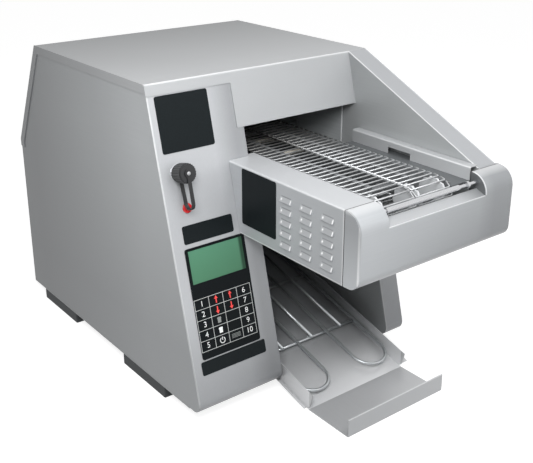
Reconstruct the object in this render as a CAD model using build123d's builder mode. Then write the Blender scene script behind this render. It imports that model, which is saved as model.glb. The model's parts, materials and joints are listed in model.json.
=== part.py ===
from build123d import *
import math
import os

# Conveyor toaster, in millimetres. +Z is up, the feed end faces -Y, and the control
# column stands on the left. Bread rides the wire belt rearwards under the heaters,
# drops behind it and slides forward again into the tray.

os.makedirs("parts", exist_ok=True)

# ---------------------------------------------------------------- driving dimensions
overall_width = 375.0
overall_height = 441.0
foot_height = 20.0
sheet = 1.2  # gauge of every panel
bend = 2.5  # outside radius of a folded edge
seat = 0.3  # clearance between pieces that are set side by side

body_depth = 408.0  # top front edge to the rear panel
top_depth = 321.0  # flat of the top cover
kink_height = 276.0  # where the rear slope starts
toe_reach = 107.0  # how far the leaning front comes forward at its foot
toe_radius = 15.0
cover_flange = 12.0
front_flange = 15.0

column_width = 138.0
wing_width = 36.0
wing_reach = 246.0  # top front edge forward to the low end of the sloping band
hood_drop = 74.5  # fascia, measured down its slope
hood_overlap = 11.0  # how far the fascia laps over the column
hood_corner = 8.0

conveyor_left = 106.0  # left face of the body to the left face of the conveyor
conveyor_top = 330.0
conveyor_bottom = 235.5
nose_gap_reach = 250.0  # top front edge forward to the joint of the nose
nose_depth = 26.0
nose_top_radius = 24.0
nose_bottom_radius = 16.0
notch_left = 152.0
notch_margin = 54.0  # notch to the right face of the body
notch_bottom = 305.5
gland_stand = 12.0  # the cord gland behind the rear panel
gland_diameter = 24.0
gland_height = 44.0
gland_offset = 30.0  # left face of the body to the gland
bush_diameter = 16.0
bush_length = 9.0

pitch = 10.886  # of the belt's strands
wrap_pitches = 7  # pitches in each half turn
run_pitches = 49  # pitches between the two shafts
wire = 2.0  # belt strand
strand_gap = 0.45  # tip of one strand to the next strand
belt_left = 156.0
belt_margin = 92.0  # belt to the right face of the body
belt_height = 328.0  # centre of the upper run's strands
idler_reach = 232.0  # top front edge forward to the idler shaft
joint_width = 6.0  # tongue in the middle of each strand
shaft_diameter = 10.0
running = 0.05  # radial clearance of a shaft in its bush
sprocket_width = 3.0
sprocket_offset = 9.0  # each sprocket stands beside a row of bends
frame_gap = 6.0  # belt edge to side frame
frame_plate = 2.0
frame_above = 17.0  # frame plate above and below the shafts
frame_below = 22.0
frame_ends = 12.0
tie_diameter = 8.0
middle_tie_depth = 112.0  # behind the top front edge

rail_width = 6.0
rail_height = 14.0

guard_gap = 4.0  # notch to the side guard
guard_width = 13.0
guard_top = 334.0
guard_height = 18.0
guard_length = 217.0
guard_window_width = 42.0
guard_window_height = 9.0
guard_window_reach = 101.0
rod_diameter = 7.0
rod_tail_diameter = 4.5
rod_reach = 262.0
rod_height = 320.0

tray_slope = 15.0
tray_left = 142.0
tray_margin = 56.0  # tray to the right face of the body
tray_fold_reach = 155.0  # top front edge forward to the fold at the foot of the slope
tray_lip_reach = 233.0
tray_lip_height = 27.0
tray_flange = 26.0
tray_corner = 9.0
tray_inner_reach = 190.0  # how far the tray reaches in behind the top front edge
tray_stand = 0.6  # tray above the table
rack_wire = 4.5
rack_margin = 4.5  # side wires to the tray's flanges
rack_rise = 11.0  # rack wires above the tray's slope
rack_turn_reach = 112.5  # centre of the two end loops
rack_bar_reach = 51.0
rack_bar_spacing = 120.0
deflector_radius = 60.0
deflector_top = 270.0

overlay_x = 17.5
overlay_s = 212.6
overlay_width = 93.0
overlay_height = 148.0
overlay_thickness = 0.8
display_width = 84.0
display_height = 44.0
display_margin = 3.5
port_x = 28.0
port_s = 115.0
port_diameter = 22.0
port_height = 6.0
cap_diameter = 26.0
cap_height = 17.0
lens_x = 32.0
lens_s = 161.0
lens_diameter = 13.0

louvre_length = 21.5
louvre_height = 7.0
louvre_stand = 2.6
louvre_columns = 3
louvre_rows = 5
louvre_column_pitch = 38.2
louvre_row_pitch = 15.1
louvre_first_reach = 146.5  # centre of the column nearest the body
louvre_first_drop = 19.5  # deck down to the centre of the top row

heater_diameter = 8.0
heater_count = 4  # above the belt, and as many inside its loop
heater_drop = 43.0  # top of the cabinet to the upper heaters
reflector_drop = 23.0
first_heater_depth = 40.0
heater_spacing = 72.0
liner_front_depth = 7.0
liner_stand = 2.4
liner_bottom = 255.0
insulator_width = 16.0
heater_hole = 9.0
insulator_length = 9.0

foot_length = 116.0
foot_width = 34.0
foot_inset = 4.0
front_foot_depth = 48.0  # centre of the front pads behind the top front edge
rear_foot_depth = 317.0

motor_width = 62.0
motor_height = 74.0
motor_length = 34.0
motor_diameter = 48.0
motor_can_length = 42.0
coupling_diameter = 18.0
board_width = 88.0
board_height = 120.0
board_stand = 8.0
board_margin = 12.0  # twice the edge to the centre of a stud
board_depth = 40.0
board_bottom = 150.0
block_size = 46.0
block_depth = 190.0  # centre behind the top front edge
block_height = 22.0
terminal_width = 15.0
terminal_length = 7.0
strap_width = 5.0
strap_drop = 47.0  # port's axis to the foot of the loop
strap_thickness = 1.2
fan_size = 92.0
fan_thickness = 25.0
fan_height = 110.0  # centre above the table
fan_hub_diameter = 34.0
fan_pin_diameter = 4.0
fan_blades = 5
blade_length = 34.0
blade_gap = 3.0
fan_slots = 6
screw_head = 7.0
screw_height = 2.0

# ---------------------------------------------------------------- derived places
x_left = -overall_width / 2
x_right = overall_width / 2
edge_y = (nose_gap_reach + nose_depth - body_depth - gland_stand) / 2
back_y = edge_y + body_depth
top_back_y = edge_y + top_depth
lean = math.atan(toe_reach / (overall_height - foot_height))
column_x = x_left + column_width
wing_x = x_right - wing_width
notch_width = overall_width - notch_left - notch_margin
belt_width = overall_width - belt_left - belt_margin
tray_width = overall_width - tray_left - tray_margin
rack_spacing = (tray_width / 2 - rack_margin) / 3
upper_heater_height = overall_height - heater_drop
reflector_height = overall_height - reflector_drop
conveyor_x = x_left + conveyor_left
gap_y = edge_y - nose_gap_reach
gland_x = x_left + gland_offset
nose_y = gap_y - nose_depth
wrap_radius = pitch * wrap_pitches / math.pi
wrap_step = 180.0 / wrap_pitches
idler_y = edge_y - idler_reach
drive_y = idler_y + run_pitches * pitch
shaft_z = belt_height - wrap_radius
belt_x = x_left + belt_left + belt_width / 2
frame_left_x = belt_x - belt_width / 2 - frame_gap - frame_plate
frame_right_x = belt_x + belt_width / 2 + frame_gap
slope = math.radians(tray_slope)
lower_heater_height = shaft_z - 10
heater_depths = [
    edge_y + first_heater_depth + place * heater_spacing for place in range(heater_count)
]
heater_holes = [
    (depth, height)
    for depth in heater_depths
    for height in (upper_heater_height, lower_heater_height)
]
fold_y = edge_y - tray_fold_reach


def front_y(z, inset=0.0):
    """Depth of the leaning front at a height, set in square to its face."""
    return edge_y - (overall_height - z) * math.tan(lean) + inset / math.cos(lean)


def slope_z(y, rise=0.0):
    """Height of the tray's underside slope at a depth, raised square to the slope."""
    return tray_stand + (y - fold_y) * math.tan(slope) + rise / math.cos(slope)


def write(part, name):
    """Label one finished piece and write it to its own file."""
    part.label = name
    export_step(part, f"parts/{name}.step")


def bent(points, radius=bend, thickness=sheet, side=Side.LEFT):
    """Edge view of a folded sheet: a line through the points, thickened to one side."""
    with BuildSketch() as profile:
        with BuildLine():
            if radius:
                FilletPolyline(*points, radius=radius)
            else:
                Polyline(*points)
            offset(amount=thickness, side=side, kind=Kind.INTERSECTION)
        make_face()
    return profile.sketch_local


def outline_of(corners, inset):
    """Side view of a body inside its corners, set in all round, with the rounded toe."""
    with BuildSketch() as outline:
        with BuildLine():
            Polyline(*corners, close=True)
        make_face()
        if inset:
            offset(amount=-inset, kind=Kind.INTERSECTION)
        toe = outline.vertices().sort_by_distance((front_y(foot_height), foot_height))[0]
        fillet(toe, toe_radius - inset)
    return outline.sketch_local


def side_outline(inset=0.0):
    """Side view of the cabinet."""
    return outline_of(
        [
            (front_y(foot_height), foot_height),
            (edge_y, overall_height),
            (top_back_y, overall_height),
            (back_y, kink_height),
            (back_y, foot_height),
        ],
        inset,
    )


def wing_outline(inset=0.0):
    """Side view of the right wing, which reaches forward beside the conveyor."""
    return outline_of(
        [
            (front_y(foot_height), foot_height),
            (front_y(conveyor_bottom), conveyor_bottom),
            (gap_y + seat, conveyor_bottom),
            (gap_y + seat, conveyor_top),
            (edge_y - wing_reach, conveyor_top),
            (edge_y, overall_height),
            (top_back_y, overall_height),
            (back_y, kink_height),
            (back_y, foot_height),
        ],
        inset,
    )


def side_view(x):
    """Drawing plane at a distance across: local x is depth and local y is height."""
    return Plane.YZ.offset(x)


def front_view(y):
    """Drawing plane at a depth: local x runs across, local y is height."""
    return Plane.XZ.offset(-y)


# The leaning front as a drawing plane: local x runs right from the left edge, and local
# y runs up the slope from the top edge, so a distance down the slope is negative.
front_plane = Plane(
    origin=(x_left, edge_y, overall_height),
    x_dir=(1, 0, 0),
    z_dir=(0, -math.cos(lean), math.sin(lean)),
)
face_plane = front_plane.offset(-sheet)  # outer skin of the control column

# ---------------------------------------------------------------- base and feet
pan_front_y = fold_y + (foot_height + 3 * sheet) / math.tan(slope)
toe_back_y = front_y(foot_height) + 2 * toe_radius
with BuildPart() as base_pan:
    with BuildSketch(Plane.XY.offset(foot_height)):
        with BuildLine():
            Polyline(
                (x_left + sheet, toe_back_y),
                (column_x, toe_back_y),
                (column_x, pan_front_y),
                (wing_x, pan_front_y),
                (wing_x, toe_back_y),
                (x_right - sheet, toe_back_y),
                (x_right - sheet, back_y),
                (x_left + sheet, back_y),
                close=True,
            )
        make_face()
    extrude(amount=sheet)
write(base_pan.part, "base_pan")

foot_centres = [
    (hand * (overall_width / 2 - foot_inset - foot_width / 2), edge_y + depth)
    for hand in (-1, 1)
    for depth in (front_foot_depth, rear_foot_depth)
]
with BuildPart() as rubber_feet:
    with BuildSketch():
        with Locations(*foot_centres):
            Rectangle(foot_width, foot_length)
            RegularPolygon(screw_head, 8, mode=Mode.SUBTRACT)
    extrude(amount=foot_height)
    chamfer(rubber_feet.edges().filter_by(Axis.Z).group_by(SortBy.LENGTH)[-1], 1)
write(rubber_feet.part, "rubber_feet")

# ---------------------------------------------------------------- control column
with BuildPart() as left_side_panel:
    with BuildSketch(side_view(x_left + sheet)):
        add(side_outline(sheet + seat))
    extrude(amount=sheet)
write(left_side_panel.part, "left_side_panel")

face_foot = (front_y(foot_height + sheet, sheet), foot_height + sheet)
face_top = overall_height - 2 * bend
face_points = [
    (face_foot[0] + 2 * toe_radius, face_foot[1]),
    face_foot,
    (front_y(face_top, sheet), face_top),
]
display_s = overlay_s + display_margin + display_height / 2
with BuildPart() as control_face:
    with BuildSketch(side_view(x_left + 2 * sheet)):
        add(bent(face_points, toe_radius - sheet, side=Side.RIGHT))
    extrude(amount=column_width - 2 * sheet)
    with BuildSketch(face_plane):
        with Locations((port_x, -port_s)):
            RegularPolygon(port_diameter / 2 - 2, 16)
        with Locations((lens_x, -lens_s)):
            RegularPolygon(lens_diameter / 2 - 2, 12)
        with Locations((overlay_x + overlay_width / 2, -display_s)):
            Rectangle(display_width - 8, display_height - 8)
    extrude(amount=2 * sheet, both=True, mode=Mode.SUBTRACT)
write(control_face.part, "control_face")

with BuildPart() as column_inner_wall:
    with BuildSketch(side_view(column_x - sheet)):
        add(side_outline(2 * sheet))
        with Locations((drive_y, shaft_z)):
            RegularPolygon(bush_diameter / 2, 8, mode=Mode.SUBTRACT)
        with Locations(*heater_holes):
            Rectangle(heater_hole, heater_hole, mode=Mode.SUBTRACT)
    extrude(amount=sheet)
write(column_inner_wall.part, "column_inner_wall")

# ---------------------------------------------------------------- covers
cover_line = [
    (top_back_y, overall_height),
    (back_y, kink_height),
    (back_y, kink_height - cover_flange),
]
hood_foot = overall_height - hood_drop * math.cos(lean)
with BuildPart() as top_cover:
    with BuildSketch(side_view(x_left)):
        add(bent([(front_y(hood_foot), hood_foot), (edge_y, overall_height)] + cover_line,
                 side=Side.RIGHT))
    extrude(amount=overall_width)
    # Over the column the front is a low flange, and beside it the fascia hangs lower.
    with BuildSketch(front_plane.offset(sheet)) as trim:
        with BuildLine():
            Polyline(
                (-sheet, -front_flange),
                (column_width - hood_overlap, -front_flange),
                (column_width - hood_overlap, -hood_drop),
                (overall_width - wing_width, -hood_drop),
                (overall_width - wing_width, -2 * hood_drop),
                (-sheet, -2 * hood_drop),
                close=True,
            )
        make_face()
        fillet(
            trim.vertices().sort_by_distance(
                trim.workplanes[0].from_local_coords(
                    (column_width - hood_overlap, -hood_drop, 0)
                )
            )[0],
            hood_corner,
        )
    extrude(amount=-4 * sheet, mode=Mode.SUBTRACT)
    with BuildSketch(side_view(wing_x)):
        with Locations((edge_y + bend, overall_height)):
            Rectangle(2 * hood_drop, 4 * hood_drop, align=(Align.MAX, Align.CENTER))
    extrude(amount=wing_width, mode=Mode.SUBTRACT)
    with BuildSketch(side_view(x_left)) as flange:
        add(bent([(edge_y - bend, overall_height)] + cover_line, 0, cover_flange, Side.RIGHT))
        add(side_outline(), mode=Mode.INTERSECT)
    extrude(amount=sheet)
    extrude(flange.sketch.moved(Location((overall_width - sheet, 0, 0))), amount=sheet)
write(top_cover.part, "top_cover")

fan_x = (x_left + column_x) / 2
with BuildPart() as rear_panel:
    with BuildSketch(front_view(back_y - sheet)):
        with Locations((0, (foot_height + sheet + kink_height - cover_flange - seat) / 2)):
            Rectangle(
                overall_width - 2 * sheet,
                kink_height - cover_flange - seat - foot_height - sheet,
            )
        with Locations((fan_x, fan_height)):
            with PolarLocations(fan_size / 4 + 4, fan_slots):
                Rectangle(fan_size / 3, screw_head, mode=Mode.SUBTRACT)
        with Locations((gland_x, gland_height)):
            RegularPolygon(gland_diameter / 2 - 3, 20, mode=Mode.SUBTRACT)
    extrude(amount=-sheet)
write(rear_panel.part, "rear_panel")

# ---------------------------------------------------------------- right wing
with BuildPart() as wing_outer_panel:
    with BuildSketch(side_view(x_right - 2 * sheet)):
        add(wing_outline(sheet + seat))
    extrude(amount=sheet)
write(wing_outer_panel.part, "wing_outer_panel")

with BuildPart() as wing_inner_panel:
    with BuildSketch(side_view(wing_x)):
        add(wing_outline(sheet + seat))
        with Locations(*heater_holes):
            Rectangle(heater_hole, heater_hole, mode=Mode.SUBTRACT)
    extrude(amount=sheet)
write(wing_inner_panel.part, "wing_inner_panel")

with BuildPart() as wing_band:
    with BuildSketch(side_view(wing_x)):
        add(bent(
            [
                (edge_y + bend - seat, overall_height),
                (edge_y, overall_height),
                (edge_y - wing_reach, conveyor_top),
                (gap_y + seat, conveyor_top),
                (gap_y + seat, conveyor_bottom),
                (front_y(conveyor_bottom), conveyor_bottom),
            ],
            0,
            side=Side.LEFT,
        ))
    extrude(amount=wing_width - sheet)
write(wing_band.part, "wing_band")

with BuildPart() as wing_leg_front:
    with BuildSketch(side_view(wing_x)):
        add(bent(
            [
                (front_y(conveyor_bottom - seat), conveyor_bottom - seat),
                (front_y(foot_height), foot_height),
                (toe_back_y, foot_height),
            ],
            toe_radius,
            side=Side.LEFT,
        ))
    extrude(amount=wing_width - sheet)
write(wing_leg_front.part, "wing_leg_front")

# ---------------------------------------------------------------- conveyor housing
deck_right = x_left + notch_left
deck_back = edge_y - 20
with BuildPart() as conveyor_cover:
    with BuildSketch(front_view(gap_y + seat)):
        add(bent(
            [
                (conveyor_x, conveyor_bottom),
                (conveyor_x, conveyor_top),
                (deck_right, conveyor_top),
            ],
            side=Side.RIGHT,
        ))
    extrude(amount=gap_y + seat - deck_back)
    with BuildSketch(side_view(conveyor_x)):
        add(side_outline(sheet - seat))
    extrude(amount=column_x + seat - conveyor_x, mode=Mode.SUBTRACT)
    louvre_centres = [
        (
            edge_y - louvre_first_reach - column * louvre_column_pitch,
            conveyor_top - louvre_first_drop - row * louvre_row_pitch,
        )
        for column in range(louvre_columns)
        for row in range(louvre_rows)
    ]
    with BuildPart(mode=Mode.PRIVATE) as louvre:
        with BuildSketch(front_view(louvre_length / 2)):
            Polygon(
                (0, louvre_height / 2),
                (-louvre_stand, -louvre_height / 2),
                (0, -louvre_height / 2),
                align=None,
            )
        extrude(amount=louvre_length)
    with BuildPart(mode=Mode.PRIVATE) as louvre_slot:
        with BuildSketch(front_view(louvre_length / 2 - sheet)):
            Polygon(
                (2 * sheet, louvre_height / 2 - sheet),
                (0, louvre_height / 2 - 2 * sheet),
                (sheet - louvre_stand, -louvre_height / 2),
                (2 * sheet, -louvre_height / 2),
                align=None,
            )
        extrude(amount=louvre_length - 2 * sheet)
    with Locations(*[(conveyor_x, y, z) for y, z in louvre_centres]):
        add(louvre.part)
        add(louvre_slot.part, mode=Mode.SUBTRACT)
write(conveyor_cover.part, "conveyor_cover")

pan_back_y = drive_y - wrap_radius
front_of_column = front_y(conveyor_bottom + sheet, sheet) - seat
with BuildPart() as conveyor_pan:
    with BuildSketch(Plane.XY.offset(conveyor_bottom)):
        with BuildLine():
            Polyline(
                (conveyor_x + sheet, gap_y + seat),
                (wing_x, gap_y + seat),
                (wing_x, pan_back_y),
                (column_x, pan_back_y),
                (column_x, front_of_column),
                (conveyor_x + sheet, front_of_column),
                close=True,
            )
        make_face()
    extrude(amount=sheet)
write(conveyor_pan.part, "conveyor_pan")

nose_points = [
    (gap_y, conveyor_top),
    (nose_y, conveyor_top),
    (nose_y, conveyor_bottom),
    (gap_y, conveyor_bottom),
]


def nose_section(inset):
    """Side view of the nose, set in from its skin."""
    with BuildSketch() as section:
        with BuildLine():
            Polyline(*nose_points, close=True)
        make_face()
        top = section.vertices().sort_by_distance((nose_y, conveyor_top))[0]
        fillet(top, nose_top_radius)
        low = section.vertices().sort_by_distance((nose_y, conveyor_bottom))[0]
        fillet(low, nose_bottom_radius)
        if inset:
            offset(amount=-inset, kind=Kind.INTERSECTION)
            with Locations((gap_y, (conveyor_top + conveyor_bottom) / 2)):
                Rectangle(
                    2 * inset,
                    conveyor_top - conveyor_bottom - 2 * inset,
                )
    return section.sketch_local


notch_x = x_left + notch_left
with BuildPart() as nose_cover:
    with BuildSketch(side_view(conveyor_x)):
        add(nose_section(0))
    extrude(amount=x_right - conveyor_x)
    with BuildSketch(side_view(conveyor_x + sheet)):
        add(nose_section(sheet))
    extrude(amount=notch_x - conveyor_x - 2 * sheet, mode=Mode.SUBTRACT)
    with BuildSketch(side_view(notch_x + notch_width + sheet)):
        add(nose_section(sheet))
    extrude(amount=x_right - notch_x - notch_width - 2 * sheet, mode=Mode.SUBTRACT)
    with BuildSketch(side_view(notch_x)):
        add(nose_section(sheet))
    extrude(amount=notch_width, mode=Mode.SUBTRACT)
    with BuildSketch(side_view(notch_x)):
        with Locations((gap_y, notch_bottom)):
            Rectangle(4 * nose_depth, conveyor_top, align=(Align.CENTER, Align.MIN))
    extrude(amount=notch_width, mode=Mode.SUBTRACT)
    with BuildSketch(side_view(notch_x + notch_width)):
        with Locations((edge_y - rod_reach, rod_height)):
            RegularPolygon(rod_tail_diameter / 2, 8)
    extrude(amount=2 * sheet, mode=Mode.SUBTRACT)
write(nose_cover.part, "nose_cover")

lip_y = nose_y + sheet
with BuildPart() as feed_lip:
    with BuildSketch(side_view(notch_x)):
        add(bent(
            [
                (lip_y, notch_bottom - nose_bottom_radius),
                (lip_y, notch_bottom),
                (edge_y - rod_reach + 1, notch_bottom + 5.5),
            ],
            0,
            side=Side.RIGHT,
        ))
    extrude(amount=notch_width)
write(feed_lip.part, "feed_lip")

rail_left = notch_x + notch_width + guard_gap  # inner face of the side guard
with BuildPart() as side_guard:
    with BuildSketch(front_view(edge_y - 29)):
        add(bent(
            [
                (rail_left, guard_top - guard_height),
                (rail_left, guard_top),
                (rail_left + guard_width, guard_top),
            ],
            side=Side.RIGHT,
        ))
    extrude(amount=guard_length)
    with BuildSketch(side_view(rail_left)):
        with Locations((edge_y - guard_window_reach, guard_top - guard_height)):
            Rectangle(
                guard_window_width, guard_window_height, align=(Align.MAX, Align.MIN)
            )
    extrude(amount=sheet, mode=Mode.SUBTRACT)
write(side_guard.part, "side_guard")

shelf_x = frame_right_x + frame_plate + seat
with BuildPart() as edge_shelf:
    with BuildSketch(Plane.XY.offset(guard_top - guard_height)):
        with Locations((shelf_x, edge_y - 29)):
            Rectangle(wing_x - shelf_x, guard_length, align=(Align.MIN, Align.MAX))
    extrude(amount=-sheet)
write(edge_shelf.part, "edge_shelf")

rod_y = edge_y - rod_reach
with BuildPart() as guard_rod:
    with BuildSketch(side_view(notch_x)):
        with Locations((rod_y, rod_height)):
            RegularPolygon(rod_tail_diameter / 2, 8)
    extrude(amount=notch_width + 2 * sheet)
    with BuildSketch(side_view(belt_x - belt_width / 2 + 3)):
        with Locations((rod_y, rod_height)):
            RegularPolygon(rod_diameter / 2, 12)
    extrude(amount=belt_width - 1)
    with BuildSketch(side_view(notch_x + notch_width - 22)):
        with Locations((rod_y, rod_height)):
            RegularPolygon(rod_diameter / 2 + 1, 12)
    extrude(amount=4)
write(guard_rod.part, "guard_rod")

# ---------------------------------------------------------------- conveyor frame
rod_z = belt_height - wire / 2 - seat - rail_height - tie_diameter / 2
tie_places = [
    idler_y + 2 * wrap_radius,
    edge_y + middle_tie_depth,
    drive_y - 2 * wrap_radius,
]


def frame_side(x):
    """One side plate of the conveyor, bored for the shafts, rods and lower heaters."""
    with BuildPart() as plate:
        with BuildSketch(side_view(x)):
            with BuildLine():
                Polyline(
                    (idler_y - frame_ends, shaft_z - frame_ends),
                    (idler_y + frame_ends, shaft_z - frame_below),
                    (drive_y - frame_ends, shaft_z - frame_below),
                    (drive_y + frame_ends, shaft_z - frame_ends),
                    (drive_y + frame_ends, shaft_z + frame_above),
                    (idler_y - frame_ends, shaft_z + frame_above),
                    close=True,
                )
            make_face()
            with Locations((idler_y, shaft_z), (drive_y, shaft_z)):
                RegularPolygon(bush_diameter / 2, 8, mode=Mode.SUBTRACT)
            with Locations(*[(y, rod_z) for y in tie_places]):
                RegularPolygon(tie_diameter / 2, 6, mode=Mode.SUBTRACT)
            with Locations(*[(y, lower_heater_height) for y in heater_depths]):
                Rectangle(heater_hole, heater_hole, mode=Mode.SUBTRACT)
        extrude(amount=frame_plate)
    return plate.part


write(frame_side(frame_left_x), "conveyor_frame_left")
write(frame_side(frame_right_x), "conveyor_frame_right")

with BuildPart() as tie_rods:
    with BuildSketch(side_view(conveyor_x + sheet)):
        with Locations((tie_places[0], rod_z)):
            RegularPolygon(tie_diameter / 2, 6)
    extrude(amount=wing_x - conveyor_x - sheet)
    with BuildSketch(side_view(column_x)):
        with Locations(*[(y, rod_z) for y in tie_places[1:]]):
            RegularPolygon(tie_diameter / 2, 6)
    extrude(amount=wing_x - column_x)
write(tie_rods.part, "tie_rods")

rail_length = run_pitches * pitch - 2 * wrap_radius
with BuildPart() as belt_rails:
    with BuildSketch(front_view(idler_y + wrap_radius)):
        with Locations(*[
            (belt_x + hand * belt_width / 4, rod_z + tie_diameter / 2) for hand in (-1, 1)
        ]):
            Rectangle(rail_width, rail_height, align=(Align.CENTER, Align.MIN))
    extrude(amount=-rail_length)
write(belt_rails.part, "belt_rails")



def bore():
    """Running bore of a bush, with flats that clear the shaft."""
    RegularPolygon(
        shaft_diameter / 2 + running, 12, major_radius=False, mode=Mode.SUBTRACT
    )


with BuildPart() as shaft_bushes:
    for y, x, reach in (
        (idler_y, frame_left_x, frame_plate),
        (idler_y, frame_right_x + frame_plate, -frame_plate),
        (drive_y, frame_left_x, frame_plate),
        (drive_y, frame_right_x + frame_plate, -frame_plate),
    ):
        with BuildSketch(side_view(x)):
            with Locations((y, shaft_z)):
                RegularPolygon(bush_diameter / 2, 8)
                bore()
        extrude(amount=reach)
        with BuildSketch(side_view(x)):
            with Locations((y, shaft_z)):
                RegularPolygon(bush_diameter / 2 + 2, 8)
                bore()
        extrude(amount=-math.copysign(frame_plate, reach))
write(shaft_bushes.part, "shaft_bushes")

# ---------------------------------------------------------------- wire belt
row_places = [belt_x - belt_width / 2 + wire / 2, belt_x, belt_x + belt_width / 2 - wire / 2]
sprocket_places = [
    row_places[0] + sprocket_offset,
    belt_x + sprocket_offset,
    row_places[2] - sprocket_offset,
]
strand_reach = pitch - wire / 2 - strand_gap  # tips beyond the centre of the strand


def shaft_body(y, left, right):
    """A round shaft across the conveyor."""
    with BuildPart() as shaft:
        with BuildSketch(side_view(left)):
            with Locations((y, shaft_z)):
                Circle(shaft_diameter / 2)
        extrude(amount=right - left)
    return shaft.part


def sprockets(y):
    """Three toothed wheels whose tips stand between the strands of the wrap."""
    tip = wrap_radius + 0.5
    root = wrap_radius - wire / 2 - 0.5
    half_step = math.radians(wrap_step) / 2
    teeth = [
        (
            (tip if step % 2 else root) * math.sin(step * half_step),
            (tip if step % 2 else root) * math.cos(step * half_step),
        )
        for step in range(4 * wrap_pitches)
    ]
    with BuildPart() as wheels:
        for place in sprocket_places:
            with BuildSketch(side_view(place - sprocket_width / 2)):
                with Locations((y, shaft_z)):
                    Polygon(*teeth, align=None)
                    RegularPolygon(
                        shaft_diameter / 2, 8, major_radius=False, mode=Mode.SUBTRACT
                    )
            extrude(amount=sprocket_width)
    return wheels.part


# One strand of the belt lies flat. It reaches up to the next strand at both edges and
# in the middle: local y is the direction of travel, and local x runs across the belt.
half_belt = belt_width / 2
half_joint = joint_width / 2
with BuildPart() as strand:
    with BuildSketch(Plane.XY.offset(-wire / 2)):
        Polygon(
            (-half_belt, -wire / 2),
            (half_belt, -wire / 2),
            (half_belt, strand_reach),
            (half_belt - wire, strand_reach),
            (half_belt - wire, wire / 2),
            (half_joint, wire / 2),
            (half_joint, strand_reach),
            (-half_joint, strand_reach),
            (-half_joint, wire / 2),
            (wire - half_belt, wire / 2),
            (wire - half_belt, strand_reach),
            (-half_belt, strand_reach),
            align=None,
        )
    extrude(amount=wire)


def run_of_strands(turn, height):
    """A straight run; the lower one is turned over and travels forward."""
    places = [
        Location(
            (belt_x, idler_y + (place + (1 if turn else 0)) * pitch, height),
            (turn, 0, 0),
        )
        for place in range(run_pitches)
    ]
    return Compound(children=[strand.part.moved(place) for place in places])


def wrap_of_strands(y, first):
    """A half turn round one shaft, starting at an angle from straight up, rearwards."""
    places = []
    for place in range(wrap_pitches):
        angle = first + place * wrap_step
        across = math.radians(angle)
        places.append(
            Location(
                (
                    belt_x,
                    y + wrap_radius * math.sin(across),
                    shaft_z + wrap_radius * math.cos(across),
                ),
                (-angle - wrap_step / 2, 0, 0),
            )
        )
    return Compound(children=[strand.part.moved(place) for place in places])


write(run_of_strands(0, shaft_z + wrap_radius), "belt_upper_run")
write(wrap_of_strands(drive_y, 0), "belt_rear_wrap")
write(run_of_strands(180, shaft_z - wrap_radius), "belt_lower_run")
write(wrap_of_strands(idler_y, 180), "belt_front_wrap")
write(shaft_body(idler_y, frame_left_x - 4, frame_right_x + frame_plate + 4), "idler_shaft")
write(sprockets(idler_y), "idler_sprockets")
write(sprockets(drive_y), "drive_sprockets")
write(
    shaft_body(drive_y, column_x - sheet - bush_length - 12, frame_right_x + frame_plate + 4),
    "drive_shaft",
)

# ---------------------------------------------------------------- oven
reflector_depth = top_back_y - edge_y - liner_front_depth


def liner(x, bores):
    """Oven side lining, standing off the wall behind it."""
    with BuildPart() as lining:
        with BuildSketch(side_view(x)):
            with Locations((edge_y + liner_front_depth, liner_bottom)):
                Rectangle(
                    body_depth, reflector_height - liner_bottom, align=(Align.MIN, Align.MIN)
                )
            add(side_outline(4 * sheet), mode=Mode.INTERSECT)
            with Locations(*heater_holes):
                Rectangle(heater_hole, heater_hole, mode=Mode.SUBTRACT)
            with Locations(*[(y, rod_z) for y in tie_places[1:]]):
                RegularPolygon(tie_diameter / 2, 6, mode=Mode.SUBTRACT)
            if bores:
                with Locations((drive_y, shaft_z)):
                    RegularPolygon(bush_diameter / 2, 8, mode=Mode.SUBTRACT)
        extrude(amount=sheet)
    return lining.part


write(liner(column_x + liner_stand - sheet, True), "oven_liner_left")
write(liner(wing_x - liner_stand, False), "oven_liner_right")

with BuildPart() as top_reflector:
    with BuildSketch(Plane.XY.offset(reflector_height)):
        with Locations(((column_x + wing_x) / 2, edge_y + liner_front_depth)):
            Rectangle(
                wing_x - column_x - 2 * seat,
                reflector_depth,
                align=(Align.CENTER, Align.MIN),
            )
    extrude(amount=sheet)
write(top_reflector.part, "top_reflector")


def heater_row(height):
    """Quartz tubes across the oven, held at the outer faces of its walls."""
    with BuildPart() as tubes:
        with BuildSketch(side_view(column_x - sheet)):
            with Locations(*[(y, height) for y in heater_depths]):
                RegularPolygon(heater_diameter / 2, 16)
        extrude(amount=wing_x - column_x + 2 * sheet)
    return tubes.part


write(heater_row(upper_heater_height), "upper_heaters")
write(heater_row(lower_heater_height), "lower_heaters")

with BuildPart() as insulators:
    for start, reach in (
        (column_x - sheet, -insulator_length),
        (wing_x + sheet, insulator_length),
    ):
        with BuildSketch(side_view(start)):
            with Locations(*heater_holes):
                Rectangle(insulator_width, insulator_width)
        extrude(amount=reach)
write(insulators.part, "heater_insulators")

# ---------------------------------------------------------------- chute and tray
chute_front_y = fold_y + 6
chute_back_y = back_y - 1.5 * deflector_radius
passage_width = wing_x - column_x - 2 * seat
with BuildPart() as discharge_chute:
    with BuildSketch(side_view(column_x + seat)):
        add(bent(
            [
                (chute_front_y, slope_z(chute_front_y, -seat)),
                (chute_back_y, slope_z(chute_back_y, -seat)),
            ],
            0,
            side=Side.RIGHT,
        ))
    extrude(amount=passage_width)
write(discharge_chute.part, "discharge_chute")

deflector_y = back_y - sheet - 2
with BuildPart() as rear_deflector:
    with BuildSketch(side_view(column_x + seat)):
        add(bent(
            [
                (chute_back_y, slope_z(chute_back_y, -seat)),
                (deflector_y, slope_z(deflector_y, -seat)),
                (deflector_y, deflector_top),
            ],
            deflector_radius,
            side=Side.RIGHT,
        ))
    extrude(amount=passage_width)
write(rear_deflector.part, "rear_deflector")

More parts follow.
